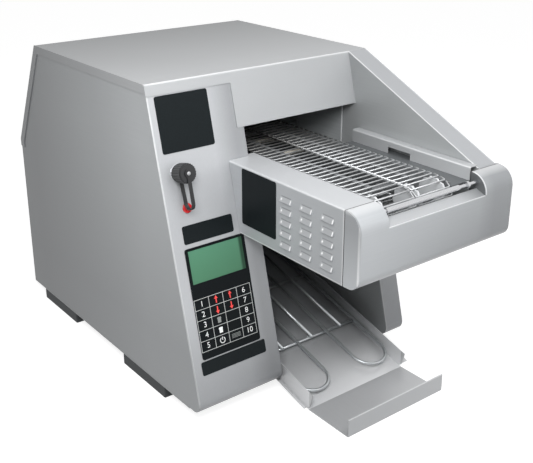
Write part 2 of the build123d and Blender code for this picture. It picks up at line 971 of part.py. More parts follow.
tray_x = x_left + tray_left
tray_front_y = edge_y - tray_lip_reach
tray_back_y = edge_y + tray_inner_reach
fold_point = (fold_y, tray_stand)
# The side flanges stand square to the slope and round off at the fold.
rise_y = -math.sin(slope)
rise_z = math.cos(slope)
with BuildPart() as toast_tray:
    with BuildSketch(side_view(tray_x)):
        add(bent(
            [
                (tray_front_y, tray_stand + tray_lip_height),
                (tray_front_y, tray_stand),
                fold_point,
                (tray_back_y, slope_z(tray_back_y)),
            ],
            sheet + 0.6,
        ))
    extrude(amount=tray_width)
    with BuildSketch(side_view(tray_x)) as flange:
        with BuildLine():
            Polyline(
                fold_point,
                (fold_y + tray_flange * rise_y, tray_stand + tray_flange * rise_z),
                (
                    tray_back_y + tray_flange * rise_y,
                    slope_z(tray_back_y) + tray_flange * rise_z,
                ),
                (tray_back_y, slope_z(tray_back_y)),
                close=True,
            )
        make_face()
        fillet(
            flange.vertices().sort_by_distance(
                (tray_x, fold_y + tray_flange * rise_y, tray_stand + tray_flange * rise_z)
            )[0],
            tray_corner,
        )
    extrude(amount=sheet)
    with BuildSketch(side_view(tray_x + tray_width - sheet)):
        add(flange.sketch_local)
    extrude(amount=sheet)
write(toast_tray.part, "toast_tray")

# The rack lies along the slope: local y runs up the slope from the fold.
tray_middle = tray_x + tray_width / 2
rack_plane = Plane(
    origin=(tray_middle, fold_y + rack_rise * rise_y, tray_stand + rack_rise * rise_z),
    x_dir=(1, 0, 0),
    z_dir=(0, rise_y, rise_z),
)
rack_back = (tray_back_y - fold_y) / rise_z
rack_turn = (edge_y - rack_turn_reach - fold_y) / rise_z
rack_bar = (edge_y - rack_bar_reach - fold_y) / rise_z
with BuildPart() as toast_rack:
    for middle in (-2 * rack_spacing, 2 * rack_spacing):
        with BuildLine(rack_plane) as loop_path:
            Polyline(
                (middle - rack_spacing, rack_back),
                (middle - rack_spacing, rack_turn),
            )
            ThreePointArc(
                (middle - rack_spacing, rack_turn),
                (middle, rack_turn - rack_spacing),
                (middle + rack_spacing, rack_turn),
            )
            Polyline(
                (middle + rack_spacing, rack_turn),
                (middle + rack_spacing, rack_back),
            )
        with BuildSketch(Plane(origin=loop_path.line @ 0, z_dir=loop_path.line % 0)):
            RegularPolygon(rack_wire / 2, 6)
        sweep(path=loop_path.line)
    for across in (-2 * rack_spacing, 0, 2 * rack_spacing):
        start = rack_plane.from_local_coords((across, rack_bar - rack_wire, 0))
        with BuildSketch(Plane(origin=start, z_dir=rack_plane.y_dir)):
            RegularPolygon(rack_wire / 2, 6)
        extrude(amount=rack_back - rack_bar + rack_wire)
    bar_sketches = [
        rack_plane.from_local_coords(
            (-tray_width / 2 + sheet, rack_bar + step * rack_bar_spacing, -rack_wire + 0.5)
        )
        for step in range(2)
    ]
    for start in bar_sketches:
        with BuildSketch(Plane(origin=start, z_dir=(1, 0, 0))):
            RegularPolygon(rack_wire / 2, 6)
        extrude(amount=tray_width - 2 * sheet)
write(toast_rack.part, "toast_rack")

# ---------------------------------------------------------------- drive in the column
motor_x = column_x - sheet - bush_length - 2 * coupling_diameter
with BuildPart() as drive_bush:
    with BuildSketch(side_view(column_x + liner_stand)):
        with Locations((drive_y, shaft_z)):
            RegularPolygon(bush_diameter / 2, 8)
            bore()
    extrude(amount=-liner_stand - sheet - bush_length)
write(drive_bush.part, "drive_bush")

with BuildPart() as drive_coupling:
    with BuildSketch(side_view(column_x - sheet - bush_length - seat)):
        with Locations((drive_y, shaft_z)):
            RegularPolygon(coupling_diameter / 2, 16)
            RegularPolygon(shaft_diameter / 2, 8, major_radius=False, mode=Mode.SUBTRACT)
    extrude(amount=seat + 12 - coupling_diameter * 1.5)
write(drive_coupling.part, "drive_coupling")

with BuildPart() as gearmotor:
    with BuildSketch(side_view(motor_x)):
        with Locations((drive_y, shaft_z - motor_height / 4)):
            Rectangle(motor_width, motor_height)
    extrude(amount=-motor_length)
    with BuildSketch(side_view(motor_x - motor_length)):
        with Locations((drive_y, shaft_z - motor_height / 3)):
            RegularPolygon(motor_diameter / 2, 24)
    extrude(amount=-motor_can_length)
    with BuildSketch(side_view(motor_x)):
        with Locations((drive_y, shaft_z)):
            RegularPolygon(shaft_diameter / 2 + 2, 12)
    extrude(amount=4)
write(gearmotor.part, "gearmotor")

with BuildPart() as motor_bracket:
    with BuildSketch(Plane.XY.offset(shaft_z - motor_height / 2)):
        add(bent(
            [
                (column_x - 2 * sheet, drive_y + motor_width),
                (column_x - 2 * sheet, drive_y + motor_width / 2 + 6),
                (motor_x, drive_y + motor_width / 2 + 6),
                (motor_x, drive_y + motor_width / 2 - 8),
            ],
            0,
        ))
    extrude(amount=motor_height / 2)
write(motor_bracket.part, "motor_bracket")

# ---------------------------------------------------------------- controls in the column
board_x = column_x - sheet - board_stand
board_y = edge_y + board_depth
with BuildPart() as control_board:
    with BuildSketch(side_view(board_x)):
        with Locations((board_y, board_bottom)):
            Rectangle(board_width, board_height, align=(Align.MIN, Align.MIN))
    extrude(amount=-2)
    with BuildSketch(side_view(column_x - sheet)):
        with Locations((board_y + board_width / 2, board_bottom + board_height / 2)):
            with GridLocations(board_width - board_margin, board_height - board_margin, 2, 2):
                RegularPolygon(3, 6)
    extrude(amount=-board_stand)
    for place, size, tall in (
        ((22, 92), (30, 30), 26),
        ((62, 96), (24, 34), 18),
        ((24, 40), (34, 12), 14),
        ((64, 40), (18, 40), 12),
    ):
        with BuildSketch(side_view(board_x - 2)):
            with Locations((board_y + place[0], board_bottom + place[1])):
                Rectangle(*size)
        extrude(amount=-tall)
write(control_board.part, "control_board")

with BuildPart() as terminal_block:
    with BuildSketch(Plane.XY.offset(foot_height + sheet)):
        with Locations((x_left + column_width / 2, edge_y + block_depth)):
            Rectangle(block_size, 1.6 * block_size)
    extrude(amount=block_height)
    with BuildSketch(Plane.XY.offset(foot_height + sheet + block_height)):
        with Locations((x_left + column_width / 2, edge_y + block_depth)):
            with GridLocations(block_size / 2, block_size / 4, 2, 5):
                Rectangle(terminal_width, terminal_length)
    extrude(amount=6)
write(terminal_block.part, "terminal_block")

# ---------------------------------------------------------------- cooling fan
fan_y = back_y - sheet
with BuildPart() as fan_frame:
    with BuildSketch(front_view(fan_y)):
        with Locations((fan_x, fan_height)):
            Rectangle(fan_size, fan_size)
            RegularPolygon(fan_size / 2 - 3, 32, mode=Mode.SUBTRACT)
    extrude(amount=fan_thickness)
    with BuildSketch(front_view(fan_y)):
        with Locations((fan_x, fan_height)):
            RegularPolygon(fan_hub_diameter / 2, 16)
            with PolarLocations(0, 3):
                Rectangle(fan_size / 2 - 1, 5, align=(Align.MIN, Align.CENTER))
    extrude(amount=3)
write(fan_frame.part, "fan_frame")

with BuildPart() as fan_rotor:
    with BuildSketch(front_view(fan_y - 3 - seat)):
        with Locations((fan_x, fan_height)):
            RegularPolygon(fan_hub_diameter / 2, 16)
    extrude(amount=fan_thickness - 4)
    with BuildSketch(front_view(fan_y - 3 - seat)):
        with Locations((fan_x, fan_height)):
            Circle(fan_pin_diameter / 2)
    extrude(amount=fan_thickness - 3)
    with BuildSketch(front_view(fan_y - 5)):
        with Locations((fan_x, fan_height)):
            with PolarLocations(0, fan_blades):
                with Locations(Location(((fan_size - blade_length) / 2 - blade_gap, 0))):
                    Rectangle(blade_length, 3, rotation=18)
    extrude(amount=fan_thickness - 9)
write(fan_rotor.part, "fan_rotor")

# ---------------------------------------------------------------- face of the column
overlay_middle = (overlay_x + overlay_width / 2, -overlay_s - overlay_height / 2)
with BuildPart() as keypad_overlay:
    with BuildSketch(face_plane):
        with Locations(overlay_middle):
            RectangleRounded(overlay_width, overlay_height, 3)
        with Locations((overlay_x + overlay_width / 2, -display_s)):
            Rectangle(display_width, display_height, mode=Mode.SUBTRACT)
    extrude(amount=overlay_thickness)
write(keypad_overlay.part, "keypad_overlay")

with BuildPart() as display_window:
    with BuildSketch(face_plane):
        with Locations((overlay_x + overlay_width / 2, -display_s)):
            Rectangle(display_width - 2 * running, display_height - 2 * running)
    extrude(amount=overlay_thickness / 2)
write(display_window.part, "display_window")

with BuildPart() as indicator_lens:
    with BuildSketch(face_plane):
        with Locations((lens_x, -lens_s)):
            RegularPolygon(lens_diameter / 2, 20)
    extrude(amount=3)
    outward = Axis(face_plane.origin, face_plane.z_dir)
    chamfer(indicator_lens.faces().sort_by(outward)[-1].edges(), 1)
write(indicator_lens.part, "indicator_lens")

with BuildPart() as port_collar:
    with BuildSketch(face_plane):
        with Locations((port_x, -port_s)):
            RegularPolygon(port_diameter / 2, 20)
            RegularPolygon(
                port_diameter / 2 - 4, 16, major_radius=False, mode=Mode.SUBTRACT
            )
    extrude(amount=2)
    with BuildSketch(face_plane.offset(-sheet)):
        with Locations((port_x, -port_s)):
            RegularPolygon(port_diameter / 2 - 2, 16)
            RegularPolygon(
                port_diameter / 2 - 4, 16, major_radius=False, mode=Mode.SUBTRACT
            )
    extrude(amount=port_height + sheet)
write(port_collar.part, "port_collar")

cap_ribs = 24
cap_outline = [
    (
        (cap_diameter / 2 - 0.8 * (step % 2)) * math.cos(step * math.pi / cap_ribs),
        (cap_diameter / 2 - 0.8 * (step % 2)) * math.sin(step * math.pi / cap_ribs),
    )
    for step in range(2 * cap_ribs)
]
cap_plane = face_plane.offset(port_height + seat)
with BuildPart() as port_cap:
    with BuildSketch(cap_plane):
        with Locations((port_x, -port_s)):
            Polygon(*cap_outline, align=None)
    extrude(amount=cap_height - 1)
    with BuildSketch(cap_plane.offset(cap_height - 1)):
        with Locations((port_x, -port_s)):
            RegularPolygon(cap_diameter / 2 - 1.8, 24)
    extrude(amount=1)
    with BuildSketch(cap_plane):
        with Locations((port_x, -port_s)):
            Circle(port_diameter / 2 - 4 - running)
    extrude(amount=-port_height + 1)
write(port_cap.part, "port_cap")

# The strap loops from the collar's neck down past the lens and up to the cap's rivet.
strap_plane = Plane(
    origin=face_plane.from_local_coords((port_x + strap_width / 2, -port_s, 0)),
    x_dir=face_plane.z_dir,
    z_dir=(-1, 0, 0),
)
strap_reach = port_height + cap_height + 2 * seat
with BuildPart() as cap_strap:
    with BuildSketch(strap_plane):
        add(bent(
            [
                (3.2, 1 - port_diameter / 2),
                (6.3, -strap_drop),
                (strap_reach + strap_thickness, -strap_drop),
                (strap_reach + strap_thickness, 0),
            ],
            9,
            strap_thickness,
        ))
    extrude(amount=strap_width)
    with BuildSketch(face_plane.offset(3.2)):
        with Locations((port_x, -port_s)):
            RegularPolygon(port_diameter / 2 + 1, 16)
            RegularPolygon(port_diameter / 2 - 1, 16, mode=Mode.SUBTRACT)
    extrude(amount=strap_thickness)
    with BuildSketch(face_plane.offset(strap_reach)):
        with Locations((port_x, -port_s)):
            RegularPolygon(strap_width, 12)
    extrude(amount=strap_thickness)
    with BuildSketch(face_plane.offset(strap_reach)):
        with Locations((port_x, -port_s)):
            RegularPolygon(strap_width / 2, 8)
    extrude(amount=strap_thickness + 1)
write(cap_strap.part, "cap_strap")

# ---------------------------------------------------------------- gland and screws
with BuildPart() as cord_gland:
    with BuildSketch(front_view(back_y - sheet - 6)):
        with Locations((gland_x, gland_height)):
            RegularPolygon(gland_diameter / 2 - 3, 20)
    extrude(amount=-sheet - 6)
    with BuildSketch(front_view(back_y)):
        with Locations((gland_x, gland_height)):
            RegularPolygon(gland_diameter / 2, 6)
    extrude(amount=-gland_stand / 2)
    with BuildSketch(front_view(back_y)):
        with Locations((gland_x, gland_height)):
            RegularPolygon(gland_diameter / 2 - 3, 20)
    extrude(amount=-gland_stand)
    with BuildSketch(front_view(back_y + gland_stand)):
        with Locations((gland_x, gland_height)):
            RegularPolygon(gland_diameter / 6, 12)
    extrude(amount=gland_stand, mode=Mode.SUBTRACT)
write(cord_gland.part, "cord_gland")

panel_top = kink_height - cover_flange - seat
screw_places = [
    (hand * (overall_width / 2 - 2 * screw_head), height)
    for hand in (-1, 1)
    for height in (foot_height + 2 * screw_head, panel_top / 2, panel_top - screw_head)
]
with BuildPart() as rear_screws:
    with BuildSketch(front_view(back_y)):
        with Locations(*screw_places):
            RegularPolygon(screw_head / 2, 10)
    extrude(amount=-screw_height)
write(rear_screws.part, "rear_screws")

with BuildPart() as foot_screws:
    with BuildSketch(Plane.XY.offset(foot_height)):
        with Locations(*foot_centres):
            RegularPolygon(screw_head - 1, 8)
    extrude(amount=-foot_height / 2)
write(foot_screws.part, "foot_screws")
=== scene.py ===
import json
import math

import bmesh
import bpy
from mathutils import Matrix, Vector


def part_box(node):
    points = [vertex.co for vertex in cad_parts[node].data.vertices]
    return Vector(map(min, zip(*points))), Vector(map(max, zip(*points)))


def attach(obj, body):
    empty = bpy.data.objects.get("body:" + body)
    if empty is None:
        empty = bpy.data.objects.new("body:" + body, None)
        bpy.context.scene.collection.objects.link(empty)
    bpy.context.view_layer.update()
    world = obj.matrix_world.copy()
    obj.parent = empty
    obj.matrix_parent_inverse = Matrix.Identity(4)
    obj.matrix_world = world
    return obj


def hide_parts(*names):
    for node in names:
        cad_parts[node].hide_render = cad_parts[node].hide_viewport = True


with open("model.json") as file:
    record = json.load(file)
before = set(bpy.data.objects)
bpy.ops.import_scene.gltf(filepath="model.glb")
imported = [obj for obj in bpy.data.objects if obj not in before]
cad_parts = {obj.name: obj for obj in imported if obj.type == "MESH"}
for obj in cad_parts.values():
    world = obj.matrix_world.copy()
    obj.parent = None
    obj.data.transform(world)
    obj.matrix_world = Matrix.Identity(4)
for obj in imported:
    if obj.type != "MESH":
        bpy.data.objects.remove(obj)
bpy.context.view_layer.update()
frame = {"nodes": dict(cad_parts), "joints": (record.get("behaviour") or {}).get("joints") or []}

# Looks of a conveyor toaster. Places on the object are in metres, as the frame has them. New
# pieces are worked out in millimetres and scaled when they are finished. +Z is up, +X is to
# the right of someone who feeds the toaster, and the feed end faces -Y.
MM = 0.001

# ---------------------------------------------------------------- sizes and places
BODY_DEPTH = 0.408  # from the top front edge to the rear panel
TOE_REACH = 0.107  # how far the leaning front comes forward at its foot
WING_REACH = 0.246  # from the top front edge forward to the low end of the sloping band
TRAY_FOLD_REACH = 0.155  # from the top front edge forward to the foot of the tray's slope
NOTCH_BOTTOM = 0.3055  # height of the cut-out's edge in the nose
SHEET = 0.0012  # gauge of every panel

COVER_LOW, COVER_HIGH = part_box("top_cover")
NOSE_LOW, NOSE_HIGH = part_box("nose_cover")
LIP_LOW, LIP_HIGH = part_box("feed_lip")
BAND_LOW, BAND_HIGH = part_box("wing_band")
GUARD_LOW, GUARD_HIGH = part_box("side_guard")
TRAY_LOW, TRAY_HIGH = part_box("toast_tray")
BELT_LOW, BELT_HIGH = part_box("belt_upper_run")
LINER_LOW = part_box("oven_liner_right")[0]
CONVEYOR_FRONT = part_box("conveyor_cover")[0].y
FOOT_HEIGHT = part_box("base_pan")[0].z

EDGE = Vector((COVER_LOW.x, COVER_HIGH.y - BODY_DEPTH, COVER_HIGH.z))  # top front corner
LEAN = math.atan(TOE_REACH / (EDGE.z - FOOT_HEIGHT))
DOWN = Vector((0, -math.sin(LEAN), -math.cos(LEAN)))
OUT = Vector((0, -math.cos(LEAN), math.sin(LEAN)))


# ---------------------------------------------------------------- camera
AZIMUTH, ELEVATION = math.radians(-37.851), math.radians(20.192)
towards_camera = Vector((
    math.sin(AZIMUTH) * math.cos(ELEVATION),
    -math.cos(AZIMUTH) * math.cos(ELEVATION),
    math.sin(ELEVATION),
))
camera = bpy.data.objects.new("camera", bpy.data.cameras.new("camera"))
camera.location = (-0.7086, -0.9865, 0.6897)
camera.rotation_mode = "QUATERNION"
camera.rotation_quaternion = (-towards_camera).to_track_quat("-Z", "Y")
camera.data.lens = 59.04
camera.data.sensor_width = 36
camera.data.shift_y = -0.080
camera.data.clip_start = 0.05
camera.data.clip_end = 50
bpy.context.scene.collection.objects.link(camera)
bpy.context.scene.camera = camera


# ---------------------------------------------------------------- shader maths
class Value:
    """A socket, or a number, that builds Math nodes in a tree when it is worked with."""

    def __init__(self, nodes, socket):
        self.nodes = nodes
        self.socket = socket

    def maths(self, operation, *others):
        inputs = dict(enumerate((self, *others)))
        return self.nodes.node("ShaderNodeMath", {"operation": operation}, inputs)

    def __add__(self, other):
        return self.maths("ADD", other)

    def __radd__(self, other):
        return Value(self.nodes, other).maths("ADD", self)

    def __sub__(self, other):
        return self.maths("SUBTRACT", other)

    def __rsub__(self, other):
        return Value(self.nodes, other).maths("SUBTRACT", self)

    def __mul__(self, other):
        return self.maths("MULTIPLY", other)

    def __truediv__(self, other):
        return self.maths("DIVIDE", other)

    def above(self, limit):
        return self.maths("GREATER_THAN", limit)

    def below(self, limit):
        return self.maths("LESS_THAN", limit)

    def size(self):
        return self.maths("ABSOLUTE")

    def fraction(self):
        return self.maths("FRACT")

    def most(self, other):
        return self.maths("MAXIMUM", other)

    def fade(self, start, end):
        """0 up to the start, 1 past the end, and a straight ramp between.

        The start may be the higher of the two.
        """
        inputs = {0: self, 1: start, 2: end, 3: 0.0, 4: 1.0}
        return self.nodes.node("ShaderNodeMapRange", {"clamp": True}, inputs)

    def about(self, centre, start, end):
        """1 as far as the start from a centre, fading to 0 at the end's distance from it."""
        return (self - centre).size().fade(end, start)


class Nodes:
    """The node tree of a material or of the world."""

    def __init__(self, tree):
        self.tree = tree

    def put(self, socket, value):
        """Link a socket to another, or give it a value of its own."""
        if isinstance(value, Value):
            value = value.socket
        if isinstance(value, bpy.types.NodeSocket):
            self.tree.links.new(value, socket)
        else:
            socket.default_value = value

    def node(self, kind, settings, inputs, output=0):
        """Add a node, give it its settings first, then the values or links of its sockets."""
        node = self.tree.nodes.new(kind)
        for name, value in settings.items():
            setattr(node, name, value)
        for name, value in inputs.items():
            self.put(node.inputs[name], value)
        return Value(self, node.outputs[output])


class Shader(Nodes):
    """One material, its nodes, and its Principled surface."""

    def __init__(self, name, **surface):
        self.material = bpy.data.materials.new(name)
        self.material.use_nodes = True
        super().__init__(self.material.node_tree)
        self.surface = self.tree.nodes["Principled BSDF"]
        for socket, value in surface.items():
            self.set(socket.title(), value)
        place = self.tree.nodes.new("ShaderNodeTexCoord")
        self.place = Value(self, place.outputs["Object"])
        self.axes = None

    def set(self, socket, value):
        self.put(self.surface.inputs[socket], value)

    def along(self, axis):
        """One object coordinate, in metres."""
        if self.axes is None:
            self.axes = self.tree.nodes.new("ShaderNodeSeparateXYZ")
            self.tree.links.new(self.place.socket, self.axes.inputs[0])
        return Value(self, self.axes.outputs["XYZ".index(axis)])

    def stretched(self, scale):
        return self.node("ShaderNodeMapping", {}, {"Vector": self.place, "Scale": scale})

    def noise(self, scale, detail, vector=None, rough=0.5):
        inputs = {
            "Vector": vector or self.place,
            "Scale": scale,
            "Detail": detail,
            "Roughness": rough,
        }
        return self.node("ShaderNodeTexNoise", {}, inputs)

    def near(self, direction, offset, width):
        """1 on the plane at an offset along a direction, fading to 0 at a width from it."""
        inputs = {0: self.place, 1: direction}
        along = self.node("ShaderNodeVectorMath", {"operation": "DOT_PRODUCT"}, inputs, 1)
        return along.about(offset, 0, width)

    def mix(self, factor, first, second):
        """A colour, or a colour socket, mixed with a second colour."""
        first = (*first, 1.0) if isinstance(first, tuple) else first
        inputs = {0: factor, 6: first, 7: (*second, 1.0)}
        return self.node("ShaderNodeMix", {"data_type": "RGBA"}, inputs, 2)

    def lay(self, base, *shading):
        """Lay painted light and shade over a base colour, each mark a mask, a strength and a
        colour.
        """
        for mask, strength, colour in shading:
            base = self.mix(mask * strength, base, colour)
        return base

    def bump(self, height, distance, strength=1.0):
        inputs = {"Height": height, "Distance": distance, "Strength": strength}
        self.set("Normal", self.node("ShaderNodeBump", {}, inputs))


def linear(*display):
    """Linear colour from display values of 0 to 255."""
    return tuple(
        level / 255 / 12.92 if level / 255 <= 0.04045 else ((level / 255 + 0.055) / 1.055) ** 2.4
        for level in display
    )


def dress(material, *nodes):
    """Give CAD nodes a material."""
    for name in nodes:
        materials = frame["nodes"][name].data.materials
        materials.clear()
        materials.append(material)


# ---------------------------------------------------------------- metals
# The bright line along each fold is a painted highlight; its reach, inset and strength are set
# here, with the reach of a seam's dark joint.
FOLD_WIDTH, SEAM_WIDTH = 0.0022, 0.0014
FOLD_INSET = 0.0003  # how far a fold's bright line runs inside the sheet's outer side
FOLD_HIGHLIGHT, STEEL_METALLIC = 0.75, 0.2
ACROSS, ALONG, HEIGHT = (1, 0, 0), (0, 1, 0), (0, 0, 1)

# Colours laid over the steel. All but JOINT_DARK are painted light and shade: painted highlights
# on folds, edges and lit faces, and painted shade towards the oven, the table, the back and in
# the cut-out.
HIGHLIGHT_WHITE = linear(246, 247, 248)
PALE_HIGHLIGHT = linear(232, 233, 234)
GUARD_TOP_SHADE = linear(178, 180, 182)
RIM_HIGHLIGHT = linear(240, 241, 242)
DECK_LIGHT = linear(212, 213, 215)
LOUVRE_SHINE = linear(250, 250, 250)
LOUVRE_BODY_SHADE = linear(170, 172, 174)
LOUVRE_SHADOW = linear(110, 112, 114)
TRAY_LIP_SHADE = linear(160, 162, 164)
TRAY_FOOT_SHADE = linear(134, 136, 138)
SIDE_SHADE = linear(130, 132, 134)
SOFT_SHADE = linear(112, 114, 116)
SHADE = linear(104, 106, 108)
NOSE_SHADE = linear(92, 94, 97)
TRAY_SHADE = linear(90, 92, 94)
FEED_LIP_SHADE = linear(84, 87, 89)
WALL_SHADE = linear(66, 69, 71)
JOINT_DARK = linear(46, 48, 50)
WIRE_SHADE = linear(62, 59, 55)

LOUVRE_PITCH, LOUVRE_ROW = 38.2, 15.1  # from one louvre to the next, back and down, in mm
LOUVRE_COLUMNS, LOUVRE_ROWS = 3, 5
LOUVRE_Y, LOUVRE_Z = -218.5, 310.5  # middle of the front louvre of the top row, in mm
LOUVRE_ROOT, LOUVRE_FRONT, LOUVRE_BACK = -3.3, 9.4, -7.6  # from a louvre's middle, in mm

CONVEYOR_SIDE, DECK, CONVEYOR_FOOT = NOSE_LOW.x, NOSE_HIGH.z, NOSE_LOW.z
NOTCH_LEFT, NOTCH_RIGHT = LIP_LOW.x, LIP_HIGH.x
TRAY_FOLD_Y = EDGE.y - TRAY_FOLD_REACH
TRAY_LIP_FRONT, TRAY_LIP_TOP = TRAY_LOW.y + 0.0006, TRAY_LOW.z + 0.0266


def sheet_steel(
    name, colour, grain, roughness=0.4, smudge=0.05, folds=(), seam=None, shading=None
):
    """Satin stainless sheet: fine lines along one direction and faint smudges.

    A fold, where two planes meet, carries a painted highlight. The function given as marks lays
    a panel's painted light and shade over the sheet. A seam is a plane where the sheet ends in a
    dark joint.
    """
    shader = Shader(name, metallic=STEEL_METALLIC)
    lines = shader.noise(1.0, 3.0, shader.stretched(grain), 0.6)
    cloud = shader.noise(9.0, 3.0)
    tone = lines * 0.5 + cloud * 0.5
    dark = tuple(level * (1 - smudge) for level in colour)
    pale = tuple(min(1.0, level * (1 + smudge)) for level in colour)
    base = shader.mix(tone.fade(0.3, 0.7), dark, pale)
    # Painted highlight along each fold.
    for first, second in folds:
        line = shader.near(*first, FOLD_WIDTH) * shader.near(*second, FOLD_WIDTH)
        base = shader.lay(base, (line, FOLD_HIGHLIGHT, HIGHLIGHT_WHITE))
    # The panel's painted light and shade.
    if shading:
        base = shading(shader, base)
    if seam:
        base = shader.mix(shader.near(*seam, SEAM_WIDTH).fade(0, 0.4), base, JOINT_DARK)
    shader.set("Base Color", base)
    shader.set("Roughness", roughness - 0.04 + lines * 0.05 + cloud * 0.04)
    shader.bump(lines, 0.00002, 0.5)
    return shader.material


def louvre_shading(shader, base):
    """Pressed louvres: a painted shadow under each one's root, painted shade on its body and a
    painted highlight at both ends.

    Distances inside a louvre are in millimetres. The side has painted shade by the nose,
    and the deck's top face is painted paler, as painted light.
    """
    side = shader.along("X").below(CONVEYOR_SIDE + FOLD_INSET)
    column = (LOUVRE_Y - shader.along("Y") / MM) / LOUVRE_PITCH + 0.5
    row = (LOUVRE_Z - shader.along("Z") / MM) / LOUVRE_ROW + 0.5
    in_columns = column.above(0) * column.below(LOUVRE_COLUMNS)
    inside = in_columns * row.above(0) * row.below(LOUVRE_ROWS) * side
    forward = (column.fraction() - 0.5) * LOUVRE_PITCH
    down = (row.fraction() - 0.5) * LOUVRE_ROW
    middle = forward.about(0, 8.5, 10.0) * inside
    front_end = forward.about(LOUVRE_FRONT, 0.4, 1.3) * down.about(0.4, 1.6, 3.0)
    back_end = forward.about(LOUVRE_BACK, 0.4, 1.8) * down.about(0.2, 0.4, 2.0)
    return shader.lay(
        base,
        (down.about(0.2, 2.0, 3.2) * middle, 0.5, LOUVRE_BODY_SHADE),
        (down.about(LOUVRE_ROOT, 0.3, 1.0) * middle, 0.7, LOUVRE_SHADOW),
        (shader.along("Y").fade(-0.2, -0.31) * side, 0.4, SIDE_SHADE),
        (shader.near(HEIGHT, DECK, 0.001), 0.4, DECK_LIGHT),
        (front_end.most(back_end) * inside, 0.9, LOUVRE_SHINE),
    )


def tray_shading(shader, base):
    """The slope is painted darker towards the oven and paler low on its right side: painted
    shade and painted light.

    The level foot and its lip have painted shade, lighter to the right, and the lip's rim has a
    painted highlight.
    """
    rightwards = shader.along("X").fade(-0.04, 0.12)
    foot = shader.along("Y").below(TRAY_FOLD_Y)
    pale_light = shader.along("Y").fade(-0.15, -0.21) * (1 - foot) * rightwards
    lip = shader.near(ALONG, TRAY_LIP_FRONT, 0.0016).fade(0, 0.3)
    rim = shader.near(HEIGHT, TRAY_LIP_TOP, 0.0012) * lip
    return shader.lay(
        base,
        (shader.along("Y").fade(-0.235, -0.08), 0.85, TRAY_SHADE),
        (foot * (0.5 - rightwards * 0.1), 1.0, TRAY_FOOT_SHADE),
        (pale_light, 0.6, PALE_HIGHLIGHT),
        (lip * (0.9 - rightwards * 0.35), 1.0, TRAY_LIP_SHADE),
        (rim, 0.7, RIM_HIGHLIGHT),
    )


def nose_shading(shader, base):
    """The nose has painted shade towards its foot, its left end and its right end, and painted
    highlights on its top and on its cut-out's edges.

    The wall at the right end of its cut-out is painted dark, as painted shade.
    """
    across, up = shader.along("X"), shader.along("Z")
    rightwards = across.fade(-0.06, 0.14)
    right_cap = across.fade(NOTCH_RIGHT - 0.01, NOTCH_RIGHT + 0.02)
    left_end = shader.near(ACROSS, CONVEYOR_SIDE, 0.003).fade(0, 0.4)
    foot = up.fade(0.31, CONVEYOR_FOOT)
    above = up.above(NOTCH_BOTTOM)
    notch = across.above(NOTCH_LEFT) * across.below(NOTCH_RIGHT)
    front_edge = shader.near(HEIGHT, NOTCH_BOTTOM - FOLD_INSET, 0.0012)
    rim = front_edge * shader.near(ALONG, NOSE_LOW.y, 0.002) * notch
    rim = rim.most(shader.near(ACROSS, NOTCH_RIGHT + 0.0018, 0.0014) * above)
    return shader.lay(
        base,
        (foot * (rightwards * 0.35 + 0.15), 1 - left_end, NOSE_SHADE),
        (rightwards * 0.25 + right_cap * 0.3, 1.0, SOFT_SHADE),
        (left_end * (1 - foot), 0.55, SHADE),
        (shader.near(HEIGHT, DECK, 0.005), 0.4, PALE_HIGHLIGHT),
        (rim, 0.8, HIGHLIGHT_WHITE),
        (shader.near(ACROSS, NOTCH_RIGHT, 0.0006) * above, 0.7, WALL_SHADE),
    )


def foot_shading(shader, base):
    """The front has painted shade near the table and, on the column, towards the tray, where the
    conveyor's shadow falls.
    """
    by_tray = shader.along("X").fade(-0.1, -0.065) * (1 - shader.along("X").above(0))
    foot = shader.along("Z").fade(0.16, FOOT_HEIGHT)
    return shader.lay(base, (foot, 0.55, SHADE), (by_tray, 0.5, SHADE))


def guard_shading(shader, base):
    """The guard's side has painted shade towards the oven, and its top is painted an even,
    darker grey as painted shade.
    """
    return shader.lay(
        base,
        (shader.along("Y").fade(-0.3, -0.1), 0.5, SHADE),
        (shader.near(HEIGHT, GUARD_HIGH.z, 0.001), 1.0, GUARD_TOP_SHADE),
    )


def lip_shading(shader, base):
    """The feed lip has painted shade at its right end."""
    return shader.lay(base, (shader.along("X").fade(0.09, 0.135), 0.5, FEED_LIP_SHADE))


def back_shading(shader, base):
    """The long panels have painted shade towards the back."""
    return shader.lay(base, (shader.along("Y").fade(-0.05, 0.28), 0.75, SHADE))


def side_shading(shader, base):
    """The sides have painted shade towards the table as well."""
    foot = shader.along("Z").fade(0.36, 0.1)
    return back_shading(shader, shader.lay(base, (foot, 0.6, SOFT_SHADE)))


def inner_shading(shader, base):
    """The inner walls have painted shade towards the oven."""
    return shader.lay(base, (shader.along("Y").fade(-0.2, -0.06), 0.45, SHADE))


FACE_PLANE = (OUT, EDGE.dot(OUT) - SHEET)
BAND_SLOPE = Vector((0, DECK - EDGE.z, WING_REACH)).normalized()
BAND_PLANE = (BAND_SLOPE, EDGE.dot(BAND_SLOPE))
WING_INNER, WING_OUTER = (ACROSS, BAND_LOW.x + FOLD_INSET), (ACROSS, BAND_HIGH.x - FOLD_INSET)
SIDE_PLANE = (ACROSS, CONVEYOR_SIDE)

